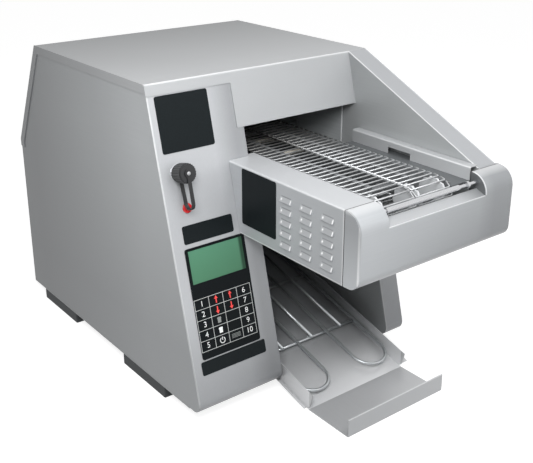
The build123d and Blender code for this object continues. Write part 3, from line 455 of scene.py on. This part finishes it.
# Each fold is the two planes that meet in it, a plane being its direction and its offset. A
# painted highlight runs along each fold.
LEFT_FOLD = ((ACROSS, EDGE.x + 0.0013), FACE_PLANE)
WING_FOLDS = (
    (WING_INNER, BAND_PLANE),
    (WING_OUTER, BAND_PLANE),
    (WING_INNER, FACE_PLANE),
)
CONVEYOR_FOLDS = (
    (SIDE_PLANE, (HEIGHT, DECK)),
    (SIDE_PLANE, (HEIGHT, CONVEYOR_FOOT)),
    (SIDE_PLANE, (ALONG, CONVEYOR_FRONT + FOLD_INSET)),
)
NOSE_FOLD = (SIDE_PLANE, (ALONG, NOSE_LOW.y + 0.001))
NOSE_JOINT = (ALONG, NOSE_HIGH.y)
COVER_FOLD = ((HEIGHT, EDGE.z), FACE_PLANE)
GUARD_FOLD = ((ACROSS, GUARD_LOW.x + 0.0001), (HEIGHT, GUARD_HIGH.z - 0.0002))
LINER_FOLD = ((ACROSS, LINER_LOW.x), (ALONG, LINER_LOW.y))

# Scale of the grain's noise over its lines and along them, and its three directions.
OVER, WITH = 900.0, 14.0
GRAIN_ACROSS = (WITH, OVER, OVER)
GRAIN_ALONG = (OVER, WITH, OVER)
GRAIN_UP = (OVER, OVER, WITH)

side_steel = sheet_steel(
    "side_steel", linear(172, 175, 177), GRAIN_ALONG, folds=(LEFT_FOLD,), shading=side_shading
)
conveyor_steel = sheet_steel(
    "conveyor_steel", linear(178, 181, 184), GRAIN_ALONG, folds=CONVEYOR_FOLDS,
    shading=louvre_shading
)
face_steel = sheet_steel(
    "face_steel", linear(174, 176, 179), GRAIN_UP, folds=(LEFT_FOLD,), shading=foot_shading
)
wing_steel = sheet_steel(
    "wing_steel", linear(163, 165, 168), GRAIN_UP, folds=WING_FOLDS, shading=foot_shading
)
cover_steel = sheet_steel(
    "cover_steel", linear(167, 169, 171), GRAIN_ALONG, folds=(COVER_FOLD,), shading=back_shading
)
nose_steel = sheet_steel(
    "nose_steel", linear(174, 177, 180), GRAIN_ACROSS, 0.3, folds=(NOSE_FOLD,),
    seam=NOSE_JOINT, shading=nose_shading
)
inner_steel = sheet_steel(
    "inner_steel", linear(174, 177, 178), GRAIN_ALONG, 0.42, shading=inner_shading
)
guard_steel = sheet_steel(
    "guard_steel", linear(198, 200, 202), GRAIN_ALONG, 0.42, folds=(GUARD_FOLD,),
    shading=guard_shading
)
lip_steel = sheet_steel(
    "lip_steel", linear(170, 172, 174), GRAIN_ACROSS, 0.36, shading=lip_shading
)
# The shelf is a darker copy of the steel, painted shade under the guard.
shelf_shade = sheet_steel("shelf_shade", linear(98, 101, 103), GRAIN_ALONG, 0.5)
# The pan is a paler copy of the steel, painted light that makes up for the belt's shade over it.
pan_painted_light = sheet_steel("pan_painted_light", linear(206, 208, 210), GRAIN_ALONG)
tray_steel = sheet_steel(
    "tray_steel", linear(216, 217, 219), GRAIN_ALONG, 0.34, shading=tray_shading
)
oven_steel = sheet_steel(
    "oven_steel", linear(158, 162, 164), GRAIN_ALONG, 0.5, 0.15, folds=(LINER_FOLD,)
)
frame_steel = sheet_steel("frame_steel", linear(120, 122, 124), GRAIN_ALONG)

dress(side_steel, "left_side_panel", "wing_outer_panel", "rear_panel")
dress(conveyor_steel, "conveyor_cover")
dress(face_steel, "control_face")
dress(wing_steel, "wing_leg_front", "wing_band")
dress(cover_steel, "top_cover")
dress(nose_steel, "nose_cover")
dress(inner_steel, "base_pan", "column_inner_wall", "wing_inner_panel", "motor_bracket")
dress(guard_steel, "side_guard")
dress(lip_steel, "feed_lip")
dress(shelf_shade, "edge_shelf")
dress(pan_painted_light, "conveyor_pan", "idler_sprockets")
dress(tray_steel, "toast_tray", "discharge_chute")
dress(oven_steel, "oven_liner_left", "oven_liner_right", "top_reflector", "rear_deflector")
dress(
    frame_steel, "conveyor_frame_left", "conveyor_frame_right", "tie_rods", "belt_rails",
    "drive_sprockets",
)


def bright_wire(name, colour, roughness, metallic=1.0, shade_span=None):
    """Drawn wire with a faint unevenness, and painted shade, dark and brownish, between two
    places along it.
    """
    shader = Shader(name, metallic=metallic)
    drawn = shader.noise(900.0, 2.0)
    dull = tuple(level * 0.88 for level in colour)
    base = shader.mix(drawn.fade(0.35, 0.7), colour, dull)
    if shade_span:
        base = shader.lay(base, (shader.along("Y").fade(*shade_span), 0.85, WIRE_SHADE))
    shader.set("Base Color", base)
    shader.set("Roughness", drawn * 0.08 + roughness)
    return shader.material


# The belt and the rack are given painted shade deeper in the oven.
belt_metal = bright_wire("belt_metal", linear(194, 196, 198), 0.36, 0.65, (-0.18, -0.07))
rack_metal = bright_wire("rack_metal", linear(192, 196, 198), 0.26, 0.66, (-0.115, 0.06))
plated = bright_wire("plated", linear(215, 216, 218), 0.12)
dress(belt_metal, "belt_upper_run", "belt_lower_run", "belt_front_wrap", "belt_rear_wrap")
dress(rack_metal, "toast_rack")
dress(
    plated, "guard_rod", "port_collar", "idler_shaft", "drive_shaft", "drive_coupling",
    "rear_screws", "foot_screws",
)


# ---------------------------------------------------------------- plastics and the rest
def moulded(name, colour, roughness=0.5, grain=420.0, shine=0.5):
    """Moulded plastic or rubber with a fine pebble."""
    shader = Shader(name)
    shader.set("Specular IOR Level", shine)
    pebble = shader.noise(grain, 3.0)
    pale = tuple(level * 1.25 for level in colour)
    shader.set("Base Color", shader.mix(pebble.fade(0.3, 0.75), colour, pale))
    shader.set("Roughness", pebble * 0.1 + roughness - 0.05)
    shader.bump(pebble, 0.00006)
    return shader.material


SCREEN_FOOT, SCREEN_TOP = 0.188, 0.232
STRIP_LEFT, STRIP_RIGHT = -0.0885, -0.0855


def display_green():
    """Green screen, a little deeper at its foot, with a dark strip down its right side."""
    shader = Shader("display_green", roughness=0.3)
    shader.set("Specular IOR Level", 0.3)
    upwards = shader.along("Z").fade(SCREEN_FOOT, SCREEN_TOP)
    green = shader.mix(upwards, linear(70, 118, 90), linear(80, 131, 104))
    strip = shader.along("X").fade(STRIP_LEFT, STRIP_RIGHT)
    shader.set("Base Color", shader.mix(strip, green, linear(30, 66, 46)))
    return shader.material


SMOOTH = 160.0  # scale of the pebble on glass and clear plastic
dress(moulded("foot_rubber", linear(46, 49, 51), 0.7), "rubber_feet")
dress(moulded("cap_plastic", linear(27, 28, 30), 0.36), "port_cap")
dress(moulded("strap_plastic", linear(24, 24, 26)), "cap_strap")
dress(moulded("gland_plastic", linear(28, 28, 30)), "cord_gland")
dress(moulded("motor_paint", linear(96, 98, 100)), "gearmotor")
dress(moulded("circuit_board", linear(30, 84, 48)), "control_board")
dress(moulded("block_plastic", linear(196, 190, 172)), "terminal_block")
dress(moulded("fan_plastic", linear(26, 26, 27)), "fan_frame", "fan_rotor")
dress(moulded("ceramic", linear(226, 221, 208), 0.6), "heater_insulators")
dress(moulded("quartz", linear(214, 208, 196), 0.25, SMOOTH), "upper_heaters", "lower_heaters")
dress(moulded("bronze", linear(150, 118, 76), 0.4), "shaft_bushes", "drive_bush")
dress(moulded("lamp_red", linear(186, 16, 20), 0.2, SMOOTH), "indicator_lens")
dress(moulded("keypad_film", linear(14, 18, 20), 0.45, shine=0.08), "keypad_overlay")
dress(display_green(), "display_window")


# ---------------------------------------------------------------- making pieces
def finish_piece(name, shape, material, body, place=Matrix()):
    """Turn a bmesh, worked in millimetres, into a piece that rides on a body."""
    bmesh.ops.remove_doubles(shape, verts=shape.verts, dist=1e-5)
    bmesh.ops.recalc_face_normals(shape, faces=shape.faces)
    bmesh.ops.transform(shape, matrix=place @ Matrix.Scale(MM, 4), verts=shape.verts)
    mesh = bpy.data.meshes.new(name)
    shape.to_mesh(mesh)
    shape.free()
    piece = bpy.data.objects.new(name, mesh)
    bpy.context.scene.collection.objects.link(piece)
    mesh.materials.append(material)
    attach(piece, body)
    return piece


def face_place(x, s, lift):
    """Frame of a spot on the column's face: x right, y up the slope, z outwards.

    The spot lies x across, s down the slope and lift above the sheet, in millimetres.
    """
    spot = EDGE + Vector((x * MM, 0, 0)) + DOWN * (s * MM) + OUT * (lift * MM - SHEET)
    turn = Matrix((
        (1, 0, 0, 0),
        (0, -DOWN.y, OUT.y, 0),
        (0, -DOWN.z, OUT.z, 0),
        (0, 0, 0, 1),
    ))
    return Matrix.Translation(spot) @ turn


def slab(width, height, thickness, radius=0.0, centre=(0, 0), shape=None):
    """Flat plate with rounded corners, lying on its back face."""
    shape = shape or bmesh.new()
    made = bmesh.ops.create_grid(shape, x_segments=1, y_segments=1, size=0.5)["verts"]
    bmesh.ops.scale(shape, vec=(width, height, 1), verts=made)
    bmesh.ops.translate(shape, vec=(*centre, 0), verts=made)
    if radius:
        made = bmesh.ops.bevel(
            shape, geom=made, offset=radius, segments=4, profile=0.5,
            affect="VERTICES", material=-1,
        )["verts"]
    face = max({face for vert in made for face in vert.link_faces}, key=lambda f: f.calc_area())
    grown = bmesh.ops.extrude_face_region(shape, geom=[face], use_keep_orig=True)["geom"]
    tops = [item for item in grown if isinstance(item, bmesh.types.BMVert)]
    bmesh.ops.translate(shape, vec=(0, 0, thickness), verts=tops)
    return shape


def bar(shape, x, y, width, height, thickness=0.08):
    """Add a thin flat bar, centred at x, y."""
    slab(width, height, thickness, centre=(x, y), shape=shape)


# ---------------------------------------------------------------- bare plates
PLATE, PLATE_GAP = 0.3, 0.05  # a plate's thickness and its gap to the sheet, in mm
plate_black = moulded("plate_black", linear(20, 25, 27), 0.45, shine=0.1)


def plate(name, left, top, right, bottom, radius):
    """A bare dark plate stuck to the column's face, its sides given in mm on the face."""
    shape = slab(right - left, bottom - top, PLATE, radius)
    place = face_place((left + right) / 2, (top + bottom) / 2, PLATE_GAP)
    finish_piece(name, shape, plate_black, "housing", place)


def side_plate(width, height, middle_y, middle_z, radius):
    """A bare dark plate stuck to the conveyor's left side, its sizes in mm."""
    turn = Matrix(((0, 0, -1, 0), (-1, 0, 0, 0), (0, 1, 0, 0), (0, 0, 0, 1)))
    place = Matrix.Translation((CONVEYOR_SIDE - PLATE_GAP * MM, middle_y * MM, middle_z * MM))
    shape = slab(width, height, PLATE, radius)
    finish_piece("side_plate", shape, plate_black, "housing", place @ turn)


plate("upper_plate", 11, 16.3, 89.3, 89, 3)
plate("middle_plate", 19.5, 183, 96.5, 207, 2.5)
plate("lower_plate", 14, 362.5, 117, 381, 2.5)
side_plate(71, 76.5, -163.5, 289.25, 3)


# ---------------------------------------------------------------- rivet on the cap
PORT_X, PORT_S = 28, 115  # the cap's middle on the face, in mm
RIVET_LIFT, RIVET_RADIUS, RIVET_HEIGHT = 25.4, 2.7, 1.8


def dome(radius, height):
    """Shallow round head, its foot at the bottom."""
    shape = bmesh.new()
    bmesh.ops.create_uvsphere(shape, u_segments=24, v_segments=12, radius=radius)
    bmesh.ops.bisect_plane(
        shape, geom=[*shape.verts, *shape.edges, *shape.faces],
        plane_co=(0, 0, 0), plane_no=(0, 0, 1), clear_inner=True,
    )
    bmesh.ops.scale(shape, vec=(1, 1, height / radius), verts=shape.verts)
    bmesh.ops.holes_fill(shape, edges=[edge for edge in shape.edges if edge.is_boundary])
    for face in shape.faces:
        face.smooth = len(face.verts) < 5
    return shape


finish_piece(
    "cap_rivet", dome(RIVET_RADIUS, RIVET_HEIGHT), tray_steel, "housing",
    face_place(PORT_X, PORT_S, RIVET_LIFT),
)


# ---------------------------------------------------------------- keypad
KEY_LEFT, KEY_TOP = 18.5, 280.5  # corner of the grid of keys on the face, in mm
KEY_WIDTH, KEY_HEIGHT = 22.1, 13.9
KEY_COLUMNS, KEY_ROWS = 4, 5
FILM = 0.82  # face of the keypad's film above the column's sheet, in mm
LINE, ROW_THICKNESS = 0.7, 0.06  # width of the grid's lines, and thickness of the level ones
PRINT = 0.1  # height of a print's face over the film
DIGIT_SIZE, DIGIT_LIFT = 10.5, 0.05
STEM_WIDTH, STEM_LENGTH, STEM_DROP = 1.7, 6.0, 1.6  # an arrow's stem, and how low it sits
HEAD_HALF, HEAD_FOOT, HEAD_TIP = 2.9, 1.2, 5.6  # an arrow's head
BREAD_WIDTH, BREAD_HEIGHT = 6.2, 7.6
STRIPES, STRIPE_PITCH, STRIPE_TOP, STRIPE_WIDTH, STRIPE_DEPTH = 4, 1.6, 2.4, 14.0, 0.6
POWER_OUTER, POWER_INNER, POWER_STEPS = 4.3, 3.2, 20
POWER_GAP = math.radians(32)  # half the gap at the top of the ring
POWER_BAR_WIDTH, POWER_BAR_LENGTH, POWER_BAR_LIFT = 1.1, 4.4, 2.3

print_white = moulded("print_white", linear(222, 224, 224))
print_grey = moulded("print_grey", linear(128, 132, 130))
print_line = moulded("print_line", linear(176, 179, 178))
print_red = moulded("print_red", linear(226, 70, 66))
grid_place = face_place(KEY_LEFT, KEY_TOP, FILM)


def key_centre(column, row):
    """Middle of one key, measured from the grid's top left corner with y up the slope."""
    return (column + 0.5) * KEY_WIDTH, -(row + 0.5) * KEY_HEIGHT


def finish_print(name, shape, material):
    """Turn a bmesh, worked on the grid of keys, into a print on the film."""
    finish_piece(name, shape, material, "housing", grid_place)


def key_lines():
    """The lines between the keys and round them."""
    width, height = KEY_COLUMNS * KEY_WIDTH, KEY_ROWS * KEY_HEIGHT
    shape = bmesh.new()
    for column in range(KEY_COLUMNS + 1):
        bar(shape, column * KEY_WIDTH, -height / 2, LINE, height + LINE)
    for row in range(KEY_ROWS + 1):
        bar(shape, width / 2, -row * KEY_HEIGHT, width, LINE, ROW_THICKNESS)
    return shape


def lettering(shape, text, x, y):
    """Add flat lettering, centred at x, y."""
    curve = bpy.data.curves.new(text, "FONT")
    curve.body = text
    curve.size = DIGIT_SIZE
    curve.align_x = "CENTER"
    curve.align_y = "CENTER"
    curve.resolution_u = 3
    holder = bpy.data.objects.new(text, curve)
    bpy.context.scene.collection.objects.link(holder)
    bpy.context.view_layer.update()
    drawn = holder.evaluated_get(bpy.context.evaluated_depsgraph_get())
    mesh = bpy.data.meshes.new_from_object(drawn)
    mesh.transform(Matrix.Translation((x, y, DIGIT_LIFT)))
    shape.from_mesh(mesh)
    bpy.data.objects.remove(holder)
    bpy.data.curves.remove(curve)
    bpy.data.meshes.remove(mesh)


def arrow(shape, x, y, way):
    """Add an arrow that points up the slope for a way of 1, and down it for -1."""
    bar(shape, x, y - STEM_DROP * way, STEM_WIDTH, STEM_LENGTH)
    foot = y + HEAD_FOOT * way
    corners = ((x - HEAD_HALF, foot), (x + HEAD_HALF, foot), (x, y + HEAD_TIP * way))
    shape.faces.new([shape.verts.new((*corner, PRINT)) for corner in corners])


def bread(shape, x, y):
    """Add a slice of bread: a square foot under a wider rounded crown."""
    width, height = BREAD_WIDTH, BREAD_HEIGHT
    bar(shape, x, y - height * 0.12, width * 0.82, height * 0.76)
    slab(
        width, height * 0.42, PRINT, height * 0.18, centre=(x, y + height * 0.29), shape=shape
    )


def stripes(shape, x, y):
    """Add a stack of thin level bars."""
    for step in range(STRIPES):
        bar(shape, x, y + STRIPE_TOP - STRIPE_PITCH * step, STRIPE_WIDTH, STRIPE_DEPTH)


def power_symbol(shape, x, y):
    """Add an open ring with a bar in its gap."""
    bar(shape, x, y + POWER_BAR_LIFT, POWER_BAR_WIDTH, POWER_BAR_LENGTH)
    sweep = (2 * math.pi - 2 * POWER_GAP) / POWER_STEPS
    turns = [POWER_GAP + step * sweep for step in range(POWER_STEPS + 1)]
    outer, inner = (
        [
            shape.verts.new((x + reach * math.sin(turn), y + reach * math.cos(turn), PRINT))
            for turn in turns
        ]
        for reach in (POWER_OUTER, POWER_INNER)
    )
    for step in range(POWER_STEPS):
        shape.faces.new((outer[step], outer[step + 1], inner[step + 1], inner[step]))


finish_print("key_grid", key_lines(), print_line)

digits = bmesh.new()
for row in range(KEY_ROWS):
    lettering(digits, str(row + 1), *key_centre(0, row))
    lettering(digits, str(row + 1 + KEY_ROWS), *key_centre(KEY_COLUMNS - 1, row))
finish_print("key_digits", digits, print_white)

arrows = bmesh.new()
for column in (1, 2):
    arrow(arrows, *key_centre(column, 0), 1)
    arrow(arrows, *key_centre(column, 1), -1)
finish_print("key_arrows", arrows, print_red)

bright_slice = bmesh.new()
bread(bright_slice, *key_centre(1, 3))
finish_print("key_slice", bright_slice, print_white)

dim_marks = bmesh.new()
bread(dim_marks, *key_centre(1, 2))
stripes(dim_marks, *key_centre(2, 4))
finish_print("key_dim_marks", dim_marks, print_grey)

power = bmesh.new()
power_symbol(power, *key_centre(1, 4))
finish_print("key_power", power, print_white)


# ---------------------------------------------------------------- round wire
UP = Vector(HEIGHT)


def tube(shape, points, radius, sides):
    """Add round wire lying in the x-y plane, its corners mitred and its ends closed."""
    points = [Vector((*point, 0)) for point in points]
    rings = []
    for index, point in enumerate(points):
        before = point - points[index - 1] if index else points[1] - point
        after = points[index + 1] - point if index < len(points) - 1 else before
        before, after = before.normalized(), after.normalized()
        tangent = (before + after).normalized()
        side = tangent.cross(UP) * radius / tangent.dot(after)
        rings.append([
            shape.verts.new(point + side * math.cos(turn) + UP * radius * math.sin(turn))
            for turn in (2 * math.pi * step / sides for step in range(sides))
        ])
    for first, second in zip(rings, rings[1:]):
        for step in range(sides):
            ahead = (step + 1) % sides
            face = shape.faces.new((first[step], first[ahead], second[ahead], second[step]))
            face.smooth = True
    shape.faces.new(rings[0])
    shape.faces.new(rings[-1])


def arc(centre, radius, start, end, steps):
    """Points of an arc in the x-y plane, angles in degrees."""
    turns = [math.radians(start + (end - start) * step / steps) for step in range(steps + 1)]
    return [
        (centre[0] + radius * math.cos(turn), centre[1] + radius * math.sin(turn))
        for turn in turns
    ]


def copies(source, places):
    """One bmesh with a copy of another at each place; the other is used up."""
    mesh = bpy.data.meshes.new("pattern")
    source.to_mesh(mesh)
    source.free()
    shape = bmesh.new()
    for place in places:
        first = len(shape.verts)
        shape.from_mesh(mesh)
        shape.verts.ensure_lookup_table()
        bmesh.ops.transform(shape, matrix=place, verts=shape.verts[first:])
    bpy.data.meshes.remove(mesh)
    return shape


# ---------------------------------------------------------------- wire belt
JOINTS = {joint["name"]: joint for joint in frame["joints"]}
PITCH = JOINTS["belt_upper_slide"]["range_m"][1] / MM
IDLER_Y = JOINTS["idler_turn"]["pos_m"][1] / MM
WRAP_PITCHES, RUN_PITCHES = 7, 49
WIRE, STRAND_GAP, STRAND_SIDES = 2.0, 0.45, 7
JOINT_HALF = 3.0  # half the width of the bend at the middle of a strand
CORNER = 1.6  # size of the cut corners at a strand's ends
BELT_HALF = (BELT_HIGH.x - BELT_LOW.x) / 2 / MM
BELT_X = (BELT_LOW.x + BELT_HIGH.x) / 2 / MM
BELT_Z = (BELT_LOW.z + BELT_HIGH.z) / 2 / MM
DRIVE_Y = IDLER_Y + RUN_PITCHES * PITCH
WRAP_RADIUS = PITCH * WRAP_PITCHES / math.pi
SHAFT_Z = BELT_Z - WRAP_RADIUS


def strand():
    """One strand: a wire across the belt, bent round the next at its ends and middle."""
    edge, joint = BELT_HALF - WIRE / 2, JOINT_HALF - WIRE / 2
    reach = PITCH - WIRE - STRAND_GAP
    right = [(joint, reach), (joint, 0), (edge - CORNER, 0), (edge, CORNER), (edge, reach)]
    left = [(-x, y) for x, y in reversed(right)]
    shape = bmesh.new()
    tube(shape, left + right, WIRE / 2, STRAND_SIDES)
    return shape


def run_places(height, turn):
    """Places of a straight run's strands. The lower run is turned over."""
    first = 1 if turn else 0
    return [
        Matrix.Translation((BELT_X, IDLER_Y + (first + step) * PITCH, height))
        @ Matrix.Rotation(turn, 4, "X")
        for step in range(RUN_PITCHES)
    ]


def wrap_places(y, first):
    """Places of the strands round one shaft, from a first angle on."""
    places = []
    for step in range(WRAP_PITCHES):
        angle = first + step * math.pi / WRAP_PITCHES
        lift, forth = WRAP_RADIUS * math.cos(angle), WRAP_RADIUS * math.sin(angle)
        tilt = -angle - math.pi / WRAP_PITCHES / 2
        spot = Matrix.Translation((BELT_X, y + forth, SHAFT_Z + lift))
        places.append(spot @ Matrix.Rotation(tilt, 4, "X"))
    return places


for name, body, places in (
    ("belt_upper_run", "belt_upper", run_places(BELT_Z, 0)),
    ("belt_lower_run", "belt_lower", run_places(SHAFT_Z - WRAP_RADIUS, math.pi)),
    ("belt_rear_wrap", "drive", wrap_places(DRIVE_Y, 0)),
    ("belt_front_wrap", "idler", wrap_places(IDLER_Y, math.pi)),
):
    strands = copies(strand(), places)
    belt = finish_piece(name + "_wire", strands, belt_metal, body)
    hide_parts(name)


# ---------------------------------------------------------------- tray rack
SLOPE = math.radians(15)
RACK_RISE = 11.0  # height of the loops' middle over the slope
RACK_WIRE, RACK_SIDES, LOOP_STEPS = 4.5, 12, 20
RACK_STEP = 28.0  # from one long wire to the next
RACK_TURN, RACK_BAR, RACK_BACK = 44.0, 107.7, 357.2  # up the slope from its foot
BAR_STEP, BAR_COUNT = 120.0, 2
BAR_DROP = RACK_WIRE - 0.5  # the cross bars bite half a millimetre into the long wires
RACK_HALF = (TRAY_HIGH.x - TRAY_LOW.x) / 2 / MM - SHEET / MM

rack_foot = Vector(((TRAY_LOW.x + TRAY_HIGH.x) / 2, TRAY_FOLD_Y, TRAY_LOW.z))
rack_lift = Vector((0, -math.sin(SLOPE), math.cos(SLOPE))) * RACK_RISE * MM
rack_place = Matrix.Translation(rack_foot + rack_lift) @ Matrix.Rotation(SLOPE, 4, "X")


def rack_shape():
    """Two loops and three straight wires along the slope, with two cross bars under them."""
    shape = bmesh.new()
    for middle in (-2 * RACK_STEP, 2 * RACK_STEP):
        left, right = ((middle + side, RACK_BACK) for side in (-RACK_STEP, RACK_STEP))
        loop = arc((middle, RACK_TURN), RACK_STEP, 180, 360, LOOP_STEPS)
        tube(shape, [left, *loop, right], RACK_WIRE / 2, RACK_SIDES)
    for across in (-2 * RACK_STEP, 0, 2 * RACK_STEP):
        ends = [(across, RACK_BAR - RACK_WIRE), (across, RACK_BACK)]
        tube(shape, ends, RACK_WIRE / 2, RACK_SIDES)
    first = len(shape.verts)
    for step in range(BAR_COUNT):
        y = RACK_BAR + step * BAR_STEP
        tube(shape, [(-RACK_HALF, y), (RACK_HALF, y)], RACK_WIRE / 2, RACK_SIDES)
    shape.verts.ensure_lookup_table()
    bmesh.ops.translate(shape, vec=(0, 0, -BAR_DROP), verts=shape.verts[first:])
    return shape


rack_wires = finish_piece(
    "rack_wires", rack_shape(), rack_metal, "tray", rack_place
)
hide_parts("toast_rack")


# ---------------------------------------------------------------- floor and light
FLOOR_SIZE, FLOOR_GREY, FLOOR_GLOW = 30, 0.45, 0.82
SKY_LIGHT, SKY_SEEN = 0.36, 1.0
WHITE = (1, 1, 1, 1)


def seen_directly(nodes):
    """1 for rays that see the backdrop straight, mirrored or through glass, else 0."""
    path = nodes.tree.nodes.new("ShaderNodeLightPath")
    looking, mirrored, through = (
        Value(nodes, path.outputs[f"Is {kind} Ray"])
        for kind in ("Camera", "Glossy", "Transmission")
    )
    return looking.most(mirrored).most(through)


def floor_white():
    """Matt grey floor that glows for the rays that see it, so that it shows nearly white."""
    shader = Shader("floor_white", roughness=0.9)
    shader.set("Base Color", (FLOOR_GREY, FLOOR_GREY, FLOOR_GREY, 1))
    shader.set("Specular IOR Level", 0.0)
    shader.set("Emission Color", WHITE)
    shader.set("Emission Strength", seen_directly(shader) * FLOOR_GLOW)
    return shader.material


def white_world():
    """World that shows white to the rays that see it and gives the rest a grey light."""
    world = bpy.data.worlds.new("studio")
    world.use_nodes = True
    sky = Nodes(world.node_tree)
    background = sky.tree.nodes["Background"]
    limits = {0: seen_directly(sky), 3: SKY_LIGHT, 4: SKY_SEEN}
    sky.put(background.inputs["Strength"], sky.node("ShaderNodeMapRange", {}, limits))
    sky.put(background.inputs["Color"], WHITE)
    return world


def lamp(name, place, aim, size, power):
    """Square area light at a place, turned towards its aim."""
    light = bpy.data.objects.new(name, bpy.data.lights.new(name, "AREA"))
    light.data.size = size
    light.data.energy = power
    light.location = place
    light.rotation_mode = "QUATERNION"
    light.rotation_quaternion = (Vector(aim) - Vector(place)).to_track_quat("-Z", "Y")
    bpy.context.scene.collection.objects.link(light)


bpy.ops.mesh.primitive_plane_add(size=FLOOR_SIZE)
floor = bpy.context.object
floor.name = "floor"
floor.data.materials.append(floor_white())

lamp("key", (-0.62, -0.75, 0.92), (-0.12, -0.1, 0.38), 0.4, 9.5)
lamp("fill", (0.5, -1.6, 0.9), (0, -0.1, 0.2), 1.0, 2.4)
lamp("top", (0.1, -0.8, 1.35), (0.05, -0.25, 0.3), 0.8, 8)
bpy.context.scene.world = white_world()
bpy.context.scene.view_settings.view_transform = "Standard"
